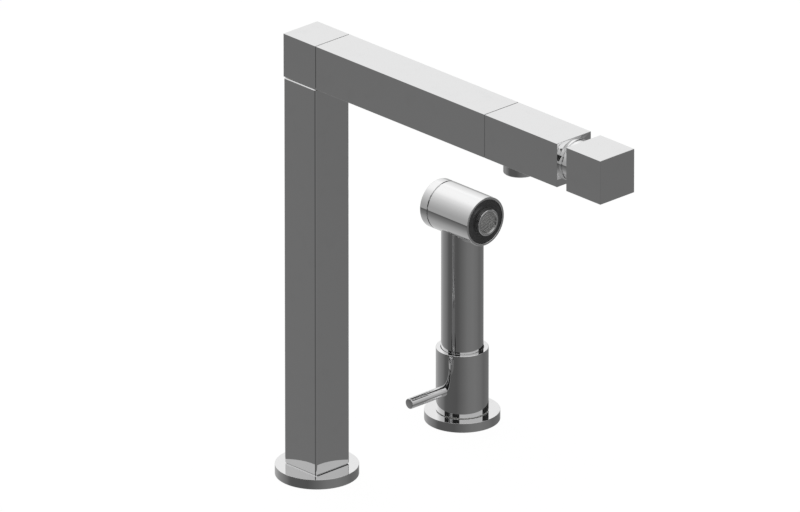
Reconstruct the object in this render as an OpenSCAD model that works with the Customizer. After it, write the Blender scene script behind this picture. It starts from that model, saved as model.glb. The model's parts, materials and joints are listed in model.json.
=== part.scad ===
// Side spray kitchen faucet: a square column with a swivelling square spout that has a cube valve
// knob at its end, and a separate deck unit with a lever valve that holds a lift-out hand spray.
// Millimetres. +X runs along the spout, +Y towards the hand spray, +Z up. The origin is the centre
// of the column's water inlet, on the deck.

/* [Spout] */
// Side of the square section of the arm, blocks and knob
profile_w = 32; // [30:0.5:36]
// Height of the arm's underside above the deck
arm_underside_z = 297; // [220:1:360]
// Length of the arm tube between its two blocks
arm_l = 168; // [110:1:240]
// Length of the valve block at the arm's end
block_l = 71; // [66:0.5:90]
// Outlet's offset towards the arm, from the middle between the arm and the valve's bore
outlet_offset = 0.8; // [0:0.1:2]
// Wall of the square arm and column tubes
tube_wall = 1.6; // [1.2:0.1:2.2]
// Swing of the spout to each side
swing_angle = 70; // [30:1:85]

/* [Knob] */
// Length of the cube knob
knob_l = 33.4; // [28:0.2:40]
// Gap between the valve block and the knob
knob_gap = 9; // [7:0.5:12]
// Radius by which the collar is smaller than half the section
collar_inset = 0.85; // [0.5:0.05:2]

/* [Column] */
// Diameter of the column's flange
flange_d = 58.5; // [54:0.5:66]
// Height of the column's flange
flange_h = 7.3; // [6:0.1:10]
// Amount by which the column is narrower than the section on each side
column_inset = 0.05; // [0:0.05:0.6]
// Radius of the column's upright edges
column_edge_r = 0.7; // [0.5:0.1:2]
// Chamfer round the column's top edge
column_chamfer = 0.9; // [0.4:0.1:1.4]
// Gap between the column and the swivelling corner block
swivel_gap = 0.6; // [0.4:0.05:1]

/* [Water outlet] */
// Outside diameter of the outlet ring
outlet_d = 23.2; // [22.6:0.1:26]
// Height of the outlet ring below the block
outlet_h = 9.1; // [7:0.1:12]
// Width of a cell of the outlet mesh across its flats
outlet_cell_w = 1.7; // [1.4:0.1:2.2]

/* [Side unit] */
// Distance from the column's axis to the side unit's axis
side_y = 139.1; // [110:0.1:200]
// Diameter of the side unit's flange
side_flange_d = 53.2; // [50:0.2:60]
// Height of the side unit's flange
side_flange_h = 6.9; // [6.2:0.1:9]
// Wall of the turning valve sleeve
sleeve_wall = 3; // [2.6:0.1:4]
// Height of the valve sleeve's top above the deck
sleeve_top_z = 54.2; // [50:0.2:64]
// Chamfer round the sleeve's top edge
sleeve_chamfer = 1; // [0.4:0.1:1.4]
// Height of the lever's axis above the deck
lever_z = 25.7; // [22:0.1:26]
// Diameter of the lever rod
lever_d = 7.6; // [6:0.1:9]
// Distance from the side unit's axis to the lever's tip
lever_reach = 51; // [42:0.2:70]
// Turn of the lever from closed to open
lever_angle = 90; // [60:1:100]

/* [Hand spray] */
// Diameter of the handle tube
handle_d = 29.6; // [28:0.1:31]
// Wall of the handle tube
handle_wall = 2; // [1.6:0.1:2.4]
// Diameter of the spray head
head_d = 35.5; // [34:0.1:40]
// Height of the head's axis above the deck
head_z = 155.4; // [130:0.2:200]
// Reach of the head in front of the handle's axis
head_front = 23.2; // [21:0.2:28]
// Reach of the head behind the handle's axis
head_back = 24.8; // [21:0.2:30]
// Depth of the back cap
cap_l = 8.3; // [5.5:0.1:9.5]
// Radius of the back cap's rounded edge
cap_edge_r = 1.2; // [0.6:0.1:2.4]
// Width of the head's chrome rim
rim_w = 1.6; // [1.2:0.1:2.4]
// Diameter of the nozzle ring
nozzle_d = 19; // [18.4:0.1:21]
// Reach of the nozzle ring in front of the rim
nozzle_proud = 3; // [2.4:0.1:4]
// Width of a cell of the nozzle mesh across its flats
nozzle_cell_w = 1; // [0.8:0.1:1.6]

/* [Hidden] */
$fn = 64;

// Clearances and the overrun of every cut
overrun = 1;
fixed_gap = 0.03;
running_gap = 0.05;
face_gap = 0.05;
seal_gap = 0.02;

// Derived places of the spout
half_w = profile_w / 2;
arm_z = arm_underside_z + half_w;
block_x = half_w + arm_l;
block_end_x = block_x + block_l;
knob_x = block_end_x + knob_gap;
column_w = profile_w - 2 * column_inset;
column_top_z = arm_underside_z - swivel_gap;
column_core_w = column_w - 2 * tube_wall - 2 * fixed_gap;
arm_core_w = profile_w - 2 * tube_wall - 2 * fixed_gap;

// Column flange, gasket and base plug
flange_bevel = 0.5;
gasket_h = 2;
gasket_edge = 3;
gasket_w = 6;
plug_spigot_r = 13;
plug_h = 24;
inlet_tap_r = 4.5;
inlet_depth = 12;
stud_tap_r = 2.5;
stud_depth = 14;
stud_spacing = 19;
pipe_r = 5;
pipe_wall = 1;
pipe_bore_r = pipe_r - pipe_wall;
pipe_socket_r = pipe_r + fixed_gap;
pipe_socket_l = 13;
pipe_ring_room = 1.6;
pipe_ring_groove_w = 2;
pipe_ring_inset = 4;
riser_start_z = flange_h + plug_h - pipe_socket_l;
gasket_outer_r = flange_d / 2 - gasket_edge;
gasket_inner_r = gasket_outer_r - gasket_w;

// Swivel post, its grooves and the corner block's bore
post_r = 10;
post_head_h = 16;
post_roof_gap = 1;
post_land = 0.9;
post_bore_r = post_r + running_gap;
bush_bore_r = 12.5;
bush_h = 4.6;
bush_seat_h = 5;
slide_ring_edge = 0.77;
slide_ring_r = column_core_w / 2 - slide_ring_edge;
slide_ring_seat = 0.9;
stop_tip_r = 1.25;
stop_tip_reach = 1.5;
stop_groove_depth = 1.8;
stop_play = 0.2;
stop_screw_r = 2.1;
stop_screw_inset = 0.5;
stop_z = arm_underside_z + bush_seat_h + stop_tip_r + 3 * stop_play;
stop_play_angle = 0.6;
stop_half_angle = swing_angle + asin(stop_tip_r / (post_r - stop_tip_reach)) + stop_play_angle;
hex_key_r = 1.45;
hex_key_depth = 2.2;
hex_key_share = 0.69;
ring_groove_w = 2.2;
ring_floor_r = 8.2;
ring_offset = 5.4;
port_groove_w = 5.2;
port_floor_r = 8.6;
port_r = 2.5;
post_top_z = arm_z + ring_offset + ring_groove_w / 2 + post_land;

// Plugs at both ends of the arm tube
arm_plug_l = 18;
arm_spigot_r = 7.5;
arm_spigot_l = 3.4;
arm_socket_inset = 4;
arm_socket_l = arm_plug_l - arm_socket_inset;

// Water ways of the valve block
valve_bore_r = 12;
valve_bore_l = 33;
outlet_x = block_x + (block_l - valve_bore_l) / 2 - outlet_offset;
way_r = 2.2;
way_offset = 6.4;
inlet_pocket_l = 6;
outlet_bore_r = 10;
outlet_bore_h = 8;
outlet_well_r = 5;
outlet_well_h = 12;

// Headwork of the valve
valve_seal_t = 2;
disc_r = 9.5;
disc_t = 4;
bridge_l = 17.4;
bridge_w = 4.6;
bridge_depth = 2;
housing_end_gap = 8;
housing_wall = 2.35;
tang_w = 3;
tang_h = 1.4;
tang_l = 15;
spindle_foot_r = 8.5;
spindle_foot_t = 3;
washer_t = 1.5;
spindle_r = 5;
spindle_floor_r = 3.6;
spline_tip_r = 4;
spline_root_r = 3.6;
spline_teeth = 20;
spline_l = 16;
clip_t = 0.9;
clip_r = 6.6;
clip_floor_r = 4.3;
clip_gap_w = 6.5;
collar_groove_depth = 1.1;
collar_groove_w = 0.9;
collar_step = 0.35;
collar_bore_r = 7.6;
collar_rest_gap = 0.4;
chamber_x = block_end_x - valve_bore_l;
disc_x = chamber_x + valve_seal_t;
moving_x = disc_x + disc_t + seal_gap;
foot_x = moving_x + disc_t + seal_gap;
washer_x = foot_x + spindle_foot_t + face_gap;
housing_shoulder_x = washer_x + washer_t + face_gap;
housing_end_x = block_end_x - housing_end_gap;
clip_x = housing_end_x + face_gap;
spindle_end_x = knob_x + spline_l;

// Knob, its insert and its grub screw
insert_r = 10;
insert_l = 18;
insert_recess = 0.6;
grub_r = 1.65;
grub_inset = 1.2;
grub_offset = 7;
grub_x = knob_x + grub_offset;

// Outlet ring and aerator
outlet_r = outlet_d / 2;
outlet_neck_h = 6.4;
outlet_wall = 1.4;
outlet_lip_w = 0.7;
outlet_lip_h = 0.8;
outlet_bevel = 0.5;
aerator_mesh_t = 0.7;
aerator_wall = 1.9;
aerator_rib_w = 1.4;
aerator_rib_count = 6;
aerator_hub_r = 2.4;
mesh_web = 0.42;
mesh_rim_w = 0.9;
outlet_bottom_z = arm_underside_z - outlet_h;
outlet_inner_r = outlet_bore_r - outlet_wall;
outlet_bore_top_z = arm_underside_z + outlet_bore_h;
outlet_neck_top_z = arm_underside_z + outlet_neck_h;

// Side unit: core with its water ways, valve sleeve and lever
spigot_r = 6;
connector_shoulder = 1.2;
connector_r = spigot_r + connector_shoulder;
connector_play = 0.4;
guide_bore_r = connector_r + connector_play;
bush_wall = 1.55;
bush_r = guide_bore_r + bush_wall;
side_way_r = 1.6;
side_way_wall = 0.85;
core_ring_wall = 0.5;
side_way_radius = bush_r + side_way_wall + side_way_r;
core_ring_floor_r = side_way_radius + side_way_r + core_ring_wall;
core_ring_depth = 1.7;
core_r = core_ring_floor_r + core_ring_depth;
sleeve_bore_r = core_r + running_gap;
handle_play = 0.65;
handle_r = handle_d / 2;
socket_r = handle_r + handle_play;
sleeve_lip_play = 0.35;
sleeve_lip_h = 2;
sleeve_r = max(sleeve_bore_r, socket_r) + sleeve_wall;
side_flange_r = side_flange_d / 2;
foot_edge = 4.6;
foot_r = side_flange_r - foot_edge;
side_flange_roof = 1.7;
foot_h = side_flange_h - side_flange_roof;
side_gasket_h = 1.6;
side_gasket_edge = 1;
side_gasket_w = 4;
hose_bore_wall = 0.9;
hose_bore_h = 14;
socket_tap_r = 3.5;
socket_depth = 8;
socket_edge = 0.9;
socket_radius = core_r - socket_edge - socket_tap_r;
hose_bore_r = socket_radius - socket_tap_r - hose_bore_wall;
socket_angles = [60, 120];
side_stud_spacing = 23;
side_stud_depth = 12;
side_port_rise = 7.3;
side_port_z = lever_z + side_port_rise;
core_ring_offset = 3.7;
core_ring_groove_w = 2;
core_land = 3.7;
core_top_z = side_port_z + core_ring_offset + core_land;
pocket_depth = 1.1;
pocket_angle = 80;
pocket_half_h = 2.1;
sleeve_ring_t = 0.45;
sleeve_ring_w = 2.4;
sleeve_start_z = side_flange_h + sleeve_ring_t + face_gap;
lever_seat_depth = 0.5;
lever_thread_r = 2.5;
lever_tip_r = 1.6;
lever_tip_reach = 1.4;
lever_groove_depth = 1.7;
lever_play = 0.15;
lever_bevel = 0.5;

// Guide bush, rest ring and swivel connector
bush_flange_edge = 0.5;
bush_flange_r = core_r - bush_flange_edge;
bush_flange_t = 1.5;
bush_mouth = 1.2;
rest_ring_t = 1;
rest_ring_w = 3.4;
connector_l = 24;
connector_tap_r = 4.5;
connector_tap_l = 11;
connector_bore_r = 3.5;
spigot_floor_r = 4.6;
connector_nose = 1;
handle_start_z = core_top_z + bush_flange_t + rest_ring_t;

// Handle plug, its clip and the tube inside the handle
handle_bore_r = handle_r - handle_wall;
swivel_l = 16;
plug_chamber_h = 8.5;
plug_chamber_r = 8;
handle_clip_t = 1;
handle_clip_r = 7.4;
handle_clip_floor_r = 5.3;
spigot_reach = 3;
spigot_top_h = swivel_l + spigot_reach;
channel_foot_h = 4;
channel_r = 5.5;
channel_bore_r = 4;
handle_plug_h = swivel_l + plug_chamber_h;

// Spray head
head_r = head_d / 2;
head_bore_r = head_r - rim_w;
face_recess = 0.8;
face_l = 8.2;
face_bore_r = 8;
channel_plate_t = 2;
cap_spigot_l = 4;
cap_seal_floor_w = 1.6;
cap_seal_groove_w = 1.8;
nozzle_r = nozzle_d / 2;
nozzle_collar_w = 0.8;
nozzle_collar_h = 1.2;
nozzle_neck_l = 6;
nozzle_bore_r = 6.2;
nozzle_seat_r = 7.05;
nozzle_seat_l = 2;
nozzle_mesh_t = 1.4;
nozzle_bevel = 0.4;
head_hole_r = 9;
seam_w = 0.6;

// Colours of the pieces
chrome_colour = "gainsboro";
brass_colour = "goldenrod";
rubber_colour = "dimgray";
plastic_colour = "white";
black_colour = "#202020";
ceramic_colour = "ivory";
steel_colour = "lightsteelblue";

// Solid of a wall between two radii, standing on the origin
module tube(outer_r, inner_r, h) {
    difference() {
        cylinder(r = outer_r, h = h);
        translate([0, 0, -overrun]) cylinder(r = inner_r, h = h + 2 * overrun);
    }
}

// Turns a piece that stands along Z so that it lies along +X
module along_x() {
    rotate([0, 90, 0]) children();
}

// Seal that fills a groove from its floor to the wall that it seals on
module seal_ring(floor_r, wall_r) {
    rotate_extrude()
        translate([(floor_r + wall_r) / 2, 0])
            circle(r = (wall_r - floor_r) / 2 - seal_gap, $fn = 24);
}

// Cutter for a groove, centred on its width
module ring_cut(inner_r, outer_r, w) {
    translate([0, 0, -w / 2]) tube(outer_r, inner_r, w);
}

// Cutter for part of a groove, centred on the direction of +X
module sector_cut(inner_r, outer_r, w, half_angle) {
    rotate([0, 0, -half_angle])
        rotate_extrude(angle = 2 * half_angle)
            translate([inner_r, -w / 2]) square([outer_r - inner_r, w]);
}

// Cylinder with a bevel at its far end
module bevelled_cylinder(r, h, bevel) {
    rotate_extrude()
        polygon([[0, 0], [r, 0], [r, h - bevel], [r - bevel, h], [0, h]]);
}

// Square section with rounded corners
module rounded_square(w, edge_r) {
    inner = w - 2 * edge_r;
    square([w, inner], center = true);
    square([inner, w], center = true);
    for (x = [-1, 1], y = [-1, 1])
        translate([x * inner / 2, y * inner / 2]) circle(r = edge_r, $fn = 32);
}

// Square plug that lies along +X from the origin, centred on its axis
module square_bar(w, l) {
    translate([0, -w / 2, -w / 2]) cube([l, w, w]);
}

// Honeycomb of cells within a radius, as cutters that stand on the origin
module cells(cell_w, radius, h) {
    pitch = cell_w + mesh_web;
    count = ceil(radius / pitch);
    corner_r = cell_w / sqrt(3);
    for (i = [-count : count], j = [-count : count]) {
        x = (i + j / 2) * pitch;
        y = j * pitch * sqrt(3) / 2;
        if (norm([x, y]) + corner_r < radius)
            translate([x, y, 0]) rotate([0, 0, 30]) cylinder(r = corner_r, h = h, $fn = 6);
    }
}

// Disc pierced by a honeycomb inside a plain rim
module mesh_disc(r, t, cell_w) {
    difference() {
        cylinder(r = r, h = t);
        translate([0, 0, -overrun]) cells(cell_w, r - mesh_rim_w, t + 2 * overrun);
    }
}

// Splined section with flat-topped teeth
module spline(root_r, tip_r) {
    step = 360 / spline_teeth;
    shares = [[0.0, 0], [0.2, 1], [0.5, 1], [0.7, 0]];
    polygon([
        for (i = [0 : spline_teeth - 1], p = shares)
            let (angle = (i + p[0]) * step, r = root_r + p[1] * (tip_r - root_r))
                [r * cos(angle), r * sin(angle)]
    ]);
}

// Grub screw that stands on its tip, with a hexagon socket at its far end
module grub_screw(thread_r, tip_r, tip_l, l) {
    difference() {
        union() {
            cylinder(r = tip_r, h = tip_l + overrun);
            translate([0, 0, tip_l]) cylinder(r = thread_r - fixed_gap, h = l - tip_l);
        }
        translate([0, 0, l - hex_key_depth])
            cylinder(r = min(hex_key_r, thread_r * hex_key_share), h = hex_key_depth + overrun, $fn = 6);
    }
}

// Open ring clip that lies on the origin, with its mouth towards +X
module ring_clip(outer_r, inner_r, t, mouth_w) {
    difference() {
        tube(outer_r, inner_r, t);
        translate([0, -mouth_w / 2, -overrun]) cube([outer_r + overrun, mouth_w, t + 2 * overrun]);
    }
}

module column_flange() {
    color(chrome_colour)
    difference() {
        bevelled_cylinder(flange_d / 2, flange_h, flange_bevel);
        translate([0, 0, -overrun])
            cylinder(r = plug_spigot_r + fixed_gap, h = flange_h + 2 * overrun);
        translate([0, 0, -overrun])
            tube(gasket_outer_r, gasket_inner_r, gasket_h + overrun);
    }
}

module column_gasket() {
    color(rubber_colour)
        tube(gasket_outer_r - fixed_gap, gasket_inner_r + fixed_gap, gasket_h - fixed_gap);
}

module column_base_plug() {
    color(brass_colour)
    difference() {
        union() {
            cylinder(r = plug_spigot_r, h = flange_h + overrun);
            translate([0, 0, flange_h + plug_h / 2])
                cube([column_core_w, column_core_w, plug_h], center = true);
        }
        translate([0, 0, -overrun]) cylinder(r = inlet_tap_r, h = inlet_depth + overrun);
        cylinder(r = pipe_bore_r, h = flange_h + plug_h);
        translate([0, 0, riser_start_z]) cylinder(r = pipe_socket_r, h = pipe_socket_l + overrun);
        translate([0, 0, riser_start_z + pipe_ring_inset])
            ring_cut(pipe_socket_r - overrun, pipe_r + pipe_ring_room, pipe_ring_groove_w);
        for (side = [-1, 1])
            translate([0, side * stud_spacing / 2, -overrun])
                cylinder(r = stud_tap_r, h = stud_depth + overrun);
    }
}

module column_tube() {
    h = column_top_z - flange_h;
    side = [
        [-column_w / 2, 0], [column_w / 2, 0], [column_w / 2, h - column_chamfer],
        [column_w / 2 - column_chamfer, h], [column_chamfer - column_w / 2, h],
        [-column_w / 2, h - column_chamfer]
    ];
    color(chrome_colour)
    translate([0, 0, flange_h])
    difference() {
        intersection() {
            linear_extrude(h) rounded_square(column_w, column_edge_r);
            for_side_profile(side);
            rotate([0, 0, 90]) for_side_profile(side);
        }
        translate([0, 0, h / 2])
            cube([column_w - 2 * tube_wall, column_w - 2 * tube_wall, h + 2 * overrun], center = true);
    }
}

// Prism of a side view, wider than the column
module for_side_profile(points) {
    translate([0, column_w / 2 + overrun, 0])
        rotate([90, 0, 0]) linear_extrude(column_w + 2 * overrun) polygon(points);
}

module riser_pipe() {
    l = column_top_z - post_head_h + pipe_socket_l - riser_start_z;
    color(steel_colour)
    translate([0, 0, riser_start_z]) tube(pipe_r, pipe_bore_r, l);
}

module riser_o_rings() {
    color(rubber_colour)
    for (z = [riser_start_z + pipe_ring_inset, column_top_z - post_head_h + pipe_socket_l - pipe_ring_inset])
        translate([0, 0, z]) seal_ring(pipe_r, pipe_r + pipe_ring_room);
}

module swivel_post() {
    bottom_z = column_top_z - post_head_h;
    color(brass_colour)
    difference() {
        union() {
            translate([0, 0, bottom_z + post_head_h / 2])
                cube([column_core_w, column_core_w, post_head_h], center = true);
            translate([0, 0, column_top_z - overrun])
                cylinder(r = post_r, h = post_top_z - column_top_z + overrun);
        }
        translate([0, 0, column_top_z - slide_ring_seat])
            tube(slide_ring_r + fixed_gap, post_r, slide_ring_seat + overrun);
        translate([0, 0, bottom_z - overrun]) cylinder(r = pipe_socket_r, h = pipe_socket_l + overrun);
        translate([0, 0, bottom_z + pipe_socket_l - pipe_ring_inset])
            ring_cut(pipe_socket_r - overrun, pipe_r + pipe_ring_room, pipe_ring_groove_w);
        translate([0, 0, bottom_z]) cylinder(r = pipe_bore_r, h = arm_z + port_r - bottom_z);
        translate([0, 0, arm_z]) ring_cut(port_floor_r, post_r + overrun, port_groove_w);
        translate([-post_r, 0, arm_z]) along_x() cylinder(r = port_r, h = 2 * post_r);
        for (side = [-1, 1])
            translate([0, 0, arm_z + side * ring_offset])
                ring_cut(ring_floor_r, post_r + overrun, ring_groove_w);
        translate([0, 0, stop_z]) rotate([0, 0, 180])
            sector_cut(post_r - stop_groove_depth, post_r + overrun,
                2 * (stop_tip_r + stop_play), stop_half_angle);
    }
}

module swivel_o_rings() {
    color(rubber_colour)
    for (side = [-1, 1])
        translate([0, 0, arm_z + side * ring_offset]) seal_ring(ring_floor_r, post_bore_r);
}

module swivel_slide_ring() {
    color(plastic_colour)
    translate([0, 0, column_top_z - slide_ring_seat])
        tube(slide_ring_r, post_r + running_gap, slide_ring_seat + swivel_gap - face_gap);
}

module corner_block() {
    color(chrome_colour)
    difference() {
        translate([0, 0, arm_z]) cube(profile_w, center = true);
        translate([0, 0, arm_underside_z - overrun])
            cylinder(r = post_bore_r, h = post_top_z + post_roof_gap - arm_underside_z + overrun);
        translate([0, 0, arm_underside_z - overrun]) cylinder(r = bush_bore_r, h = bush_seat_h + overrun);
        translate([0, 0, arm_z]) along_x() cylinder(r = port_r, h = half_w);
        translate([half_w - arm_spigot_l, 0, arm_z])
            along_x() cylinder(r = arm_spigot_r, h = arm_spigot_l + overrun);
        translate([-half_w - overrun, 0, stop_z]) along_x() cylinder(r = stop_screw_r, h = half_w);
    }
}

module swivel_bush() {
    color(plastic_colour)
    translate([0, 0, arm_underside_z + face_gap])
        tube(bush_bore_r - fixed_gap, post_r + running_gap, bush_h);
}

module swivel_stop_screw() {
    tip_x = post_r - stop_tip_reach;
    color(steel_colour)
    translate([-tip_x, 0, stop_z]) rotate([0, -90, 0])
        grub_screw(stop_screw_r, stop_tip_r, stop_tip_reach + running_gap + stop_play,
            half_w - stop_screw_inset - tip_x);
}

// Plug of the arm tube, from the spigot's tip towards +X, with its pipe socket at the far end
module arm_plug() {
    difference() {
        union() {
            translate([arm_spigot_l, 0, 0]) square_bar(arm_core_w, arm_plug_l);
            translate([fixed_gap, 0, 0])
                along_x() cylinder(r = arm_spigot_r - fixed_gap, h = arm_spigot_l + overrun);
        }
        along_x() cylinder(r = port_r, h = arm_spigot_l + arm_plug_l);
        translate([arm_spigot_l + arm_plug_l - arm_socket_l, 0, 0]) {
            along_x() cylinder(r = pipe_socket_r, h = arm_socket_l + overrun);
            translate([pipe_ring_inset, 0, 0]) along_x()
                ring_cut(pipe_socket_r - overrun, pipe_r + pipe_ring_room, pipe_ring_groove_w);
        }
    }
}

module arm_root_plug() {
    color(brass_colour)
    translate([half_w - arm_spigot_l, 0, arm_z]) arm_plug();
}

module arm_tip_plug() {
    color(brass_colour)
    translate([block_x + arm_spigot_l, 0, arm_z]) mirror([1, 0, 0]) arm_plug();
}

module arm_tube() {
    color(chrome_colour)
    translate([half_w, 0, arm_z])
    difference() {
        square_bar(profile_w, arm_l);
        translate([-overrun, 0, 0]) square_bar(profile_w - 2 * tube_wall, arm_l + 2 * overrun);
    }
}

module arm_pipe() {
    inset = arm_plug_l - arm_socket_l + fixed_gap;
    color(steel_colour)
    translate([half_w + inset, 0, arm_z]) along_x() tube(pipe_r, pipe_bore_r, arm_l - 2 * inset);
}

module arm_o_rings() {
    inset = arm_plug_l - arm_socket_l + pipe_ring_inset;
    color(rubber_colour)
    for (x = [half_w + inset, block_x - inset])
        translate([x, 0, arm_z]) along_x() seal_ring(pipe_r, pipe_r + pipe_ring_room);
}

module valve_block() {
    color(chrome_colour)
    difference() {
        translate([block_x, 0, arm_z]) square_bar(profile_w, block_l);
        translate([block_x - overrun, 0, arm_z])
            along_x() cylinder(r = arm_spigot_r, h = inlet_pocket_l + overrun);
        translate([chamber_x, 0, arm_z]) along_x() cylinder(r = valve_bore_r, h = valve_bore_l + overrun);
        translate([block_x + inlet_pocket_l / 2, 0, arm_z + way_offset])
            along_x() cylinder(r = way_r, h = chamber_x - block_x);
        translate([outlet_x, 0, arm_z - way_offset])
            along_x() cylinder(r = way_r, h = chamber_x - outlet_x + overrun);
        translate([outlet_x, 0, arm_underside_z - overrun]) {
            cylinder(r = outlet_bore_r, h = outlet_bore_h + overrun);
            cylinder(r = outlet_well_r, h = outlet_well_h + overrun);
        }
    }
}

module outlet_ring() {
    color(chrome_colour)
    translate([outlet_x, 0, outlet_bottom_z])
        rotate_extrude()
            polygon([
                [outlet_inner_r - outlet_lip_w, 0], [outlet_r - outlet_bevel, 0],
                [outlet_r, outlet_bevel], [outlet_r, outlet_h],
                [outlet_bore_r - fixed_gap, outlet_h],
                [outlet_bore_r - fixed_gap, outlet_h + outlet_neck_h],
                [outlet_inner_r, outlet_h + outlet_neck_h], [outlet_inner_r, outlet_lip_h],
                [outlet_inner_r - outlet_lip_w, outlet_lip_h]
            ]);
}

module aerator_mesh() {
    color(steel_colour)
    translate([outlet_x, 0, outlet_bottom_z + outlet_lip_h])
        mesh_disc(outlet_inner_r - fixed_gap, aerator_mesh_t, outlet_cell_w);
}

module aerator_body() {
    z = outlet_bottom_z + outlet_lip_h + aerator_mesh_t;
    h = outlet_neck_top_z - z;
    outer_r = outlet_inner_r - fixed_gap;
    color(plastic_colour)
    translate([outlet_x, 0, z]) {
        tube(outer_r, outer_r - aerator_wall, h);
        cylinder(r = aerator_hub_r, h = h);
        for (i = [0 : aerator_rib_count - 1])
            rotate([0, 0, i * 360 / aerator_rib_count])
                translate([0, -aerator_rib_w / 2, 0]) cube([outer_r - aerator_wall / 2, aerator_rib_w, h]);
    }
}

module aerator_seal() {
    color(rubber_colour)
    translate([outlet_x, 0, outlet_neck_top_z])
        tube(outlet_bore_r - fixed_gap, outlet_well_r, outlet_bore_top_z - outlet_neck_top_z);
}

module valve_seal() {
    color(rubber_colour)
    translate([chamber_x, 0, arm_z])
    difference() {
        along_x() cylinder(r = valve_bore_r - fixed_gap, h = valve_seal_t);
        for (side = [-1, 1])
            translate([-overrun, 0, side * way_offset])
                along_x() cylinder(r = way_r, h = valve_seal_t + 2 * overrun);
    }
}

module fixed_disc() {
    color(ceramic_colour)
    translate([disc_x, 0, arm_z])
    difference() {
        along_x() cylinder(r = disc_r, h = disc_t);
        for (side = [-1, 1])
            translate([-overrun, 0, side * way_offset])
                along_x() cylinder(r = way_r, h = disc_t + 2 * overrun);
    }
}

module moving_disc() {
    color(ceramic_colour)
    translate([moving_x, 0, arm_z])
    difference() {
        along_x() cylinder(r = disc_r, h = disc_t);
        translate([-overrun, -bridge_l / 2 + bridge_w / 2, -bridge_w / 2])
            cube([bridge_depth + overrun, bridge_l - bridge_w, bridge_w]);
        for (side = [-1, 1])
            translate([-overrun, side * (bridge_l - bridge_w) / 2, 0])
                along_x() cylinder(r = bridge_w / 2, h = bridge_depth + overrun);
        translate([disc_t - tang_h - face_gap, -disc_r - overrun, -tang_w / 2 - running_gap])
            cube([tang_h + overrun, 2 * disc_r + 2 * overrun, tang_w + 2 * running_gap]);
    }
}

module valve_housing() {
    inner_r = valve_bore_r - housing_wall;
    color(brass_colour)
    translate([disc_x, 0, arm_z])
    difference() {
        along_x() cylinder(r = valve_bore_r - fixed_gap, h = housing_end_x - disc_x);
        translate([-overrun, 0, 0])
            along_x() cylinder(r = inner_r, h = housing_shoulder_x - disc_x + overrun);
        along_x() cylinder(r = spindle_r + running_gap, h = housing_end_x - disc_x + overrun);
    }
}

module spindle_washer() {
    color(plastic_colour)
    translate([washer_x, 0, arm_z])
        along_x() tube(spindle_foot_r, spindle_r + running_gap, washer_t);
}

module valve_collar() {
    collar_r = half_w - collar_inset;
    l = knob_gap - collar_rest_gap;
    step_share = 0.4;
    color(chrome_colour)
    translate([block_end_x, 0, arm_z])
    along_x()
    difference() {
        union() {
            translate([0, 0, -housing_end_gap + clip_t + 2 * face_gap])
                cylinder(r = valve_bore_r - fixed_gap, h = housing_end_gap);
            cylinder(r = collar_r, h = l * step_share);
            translate([0, 0, l * step_share])
                bevelled_cylinder(collar_r - collar_step, l * (1 - step_share), collar_step);
        }
        translate([0, 0, l * step_share])
            ring_cut(collar_r - collar_groove_depth, collar_r + overrun, collar_groove_w);
        translate([0, 0, -housing_end_gap])
            cylinder(r = collar_bore_r, h = housing_end_gap + l + overrun);
    }
}

module valve_spindle() {
    groove_x = (housing_shoulder_x + housing_end_x) / 2;
    color(brass_colour)
    translate([0, 0, arm_z])
    difference() {
        union() {
            translate([foot_x, 0, 0]) along_x() cylinder(r = spindle_foot_r, h = spindle_foot_t);
            translate([foot_x - tang_h, -tang_l / 2, -tang_w / 2])
                cube([tang_h + overrun, tang_l, tang_w]);
            translate([foot_x, 0, 0]) along_x() cylinder(r = spindle_r, h = knob_x - foot_x);
            translate([knob_x - overrun, 0, 0])
                along_x() linear_extrude(spline_l + overrun) spline(spline_root_r, spline_tip_r);
        }
        translate([groove_x, 0, 0])
            along_x() ring_cut(spindle_floor_r, spindle_r + overrun, ring_groove_w);
        translate([clip_x + clip_t / 2, 0, 0])
            along_x() ring_cut(clip_floor_r, spindle_r + overrun, clip_t + fixed_gap);
    }
}

module spindle_o_ring() {
    color(rubber_colour)
    translate([(housing_shoulder_x + housing_end_x) / 2, 0, arm_z])
        along_x() seal_ring(spindle_floor_r, spindle_r + running_gap);
}

module spindle_clip() {
    color(steel_colour)
    translate([clip_x, 0, arm_z])
        along_x() ring_clip(clip_r, clip_floor_r + fixed_gap, clip_t, clip_gap_w);
}

module knob_insert() {
    color(plastic_colour)
    translate([knob_x + insert_recess, 0, arm_z])
    difference() {
        along_x() cylinder(r = insert_r - fixed_gap, h = insert_l);
        translate([-overrun, 0, 0])
            along_x() linear_extrude(insert_l + 2 * overrun)
                spline(spline_root_r + fixed_gap, spline_tip_r + fixed_gap);
        translate([grub_x - knob_x - insert_recess, 0, -insert_r - overrun]) cylinder(r = grub_r, h = insert_r);
    }
}

module knob_cube() {
    color(chrome_colour)
    translate([knob_x, 0, arm_z])
    difference() {
        square_bar(profile_w, knob_l);
        translate([-overrun, 0, 0])
            along_x() cylinder(r = insert_r, h = insert_recess + insert_l + fixed_gap + overrun);
        translate([grub_x - knob_x, 0, -half_w - overrun]) cylinder(r = grub_r, h = half_w);
    }
}

module knob_grub_screw() {
    tip = spline_tip_r + fixed_gap;
    color(steel_colour)
    translate([grub_x, 0, arm_z - tip]) rotate([180, 0, 0])
        grub_screw(grub_r, grub_r / 2, grub_r / 2, half_w - grub_inset - tip);
}

// Moves a piece of the side unit to its axis
module at_side() {
    translate([0, side_y, 0]) children();
}

module side_flange() {
    color(chrome_colour)
    at_side()
    difference() {
        bevelled_cylinder(side_flange_r, side_flange_h, flange_bevel);
        translate([0, 0, -overrun]) cylinder(r = core_r + fixed_gap, h = side_flange_h + 2 * overrun);
        translate([0, 0, -overrun]) cylinder(r = foot_r + fixed_gap, h = foot_h + fixed_gap + overrun);
    }
}

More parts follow.
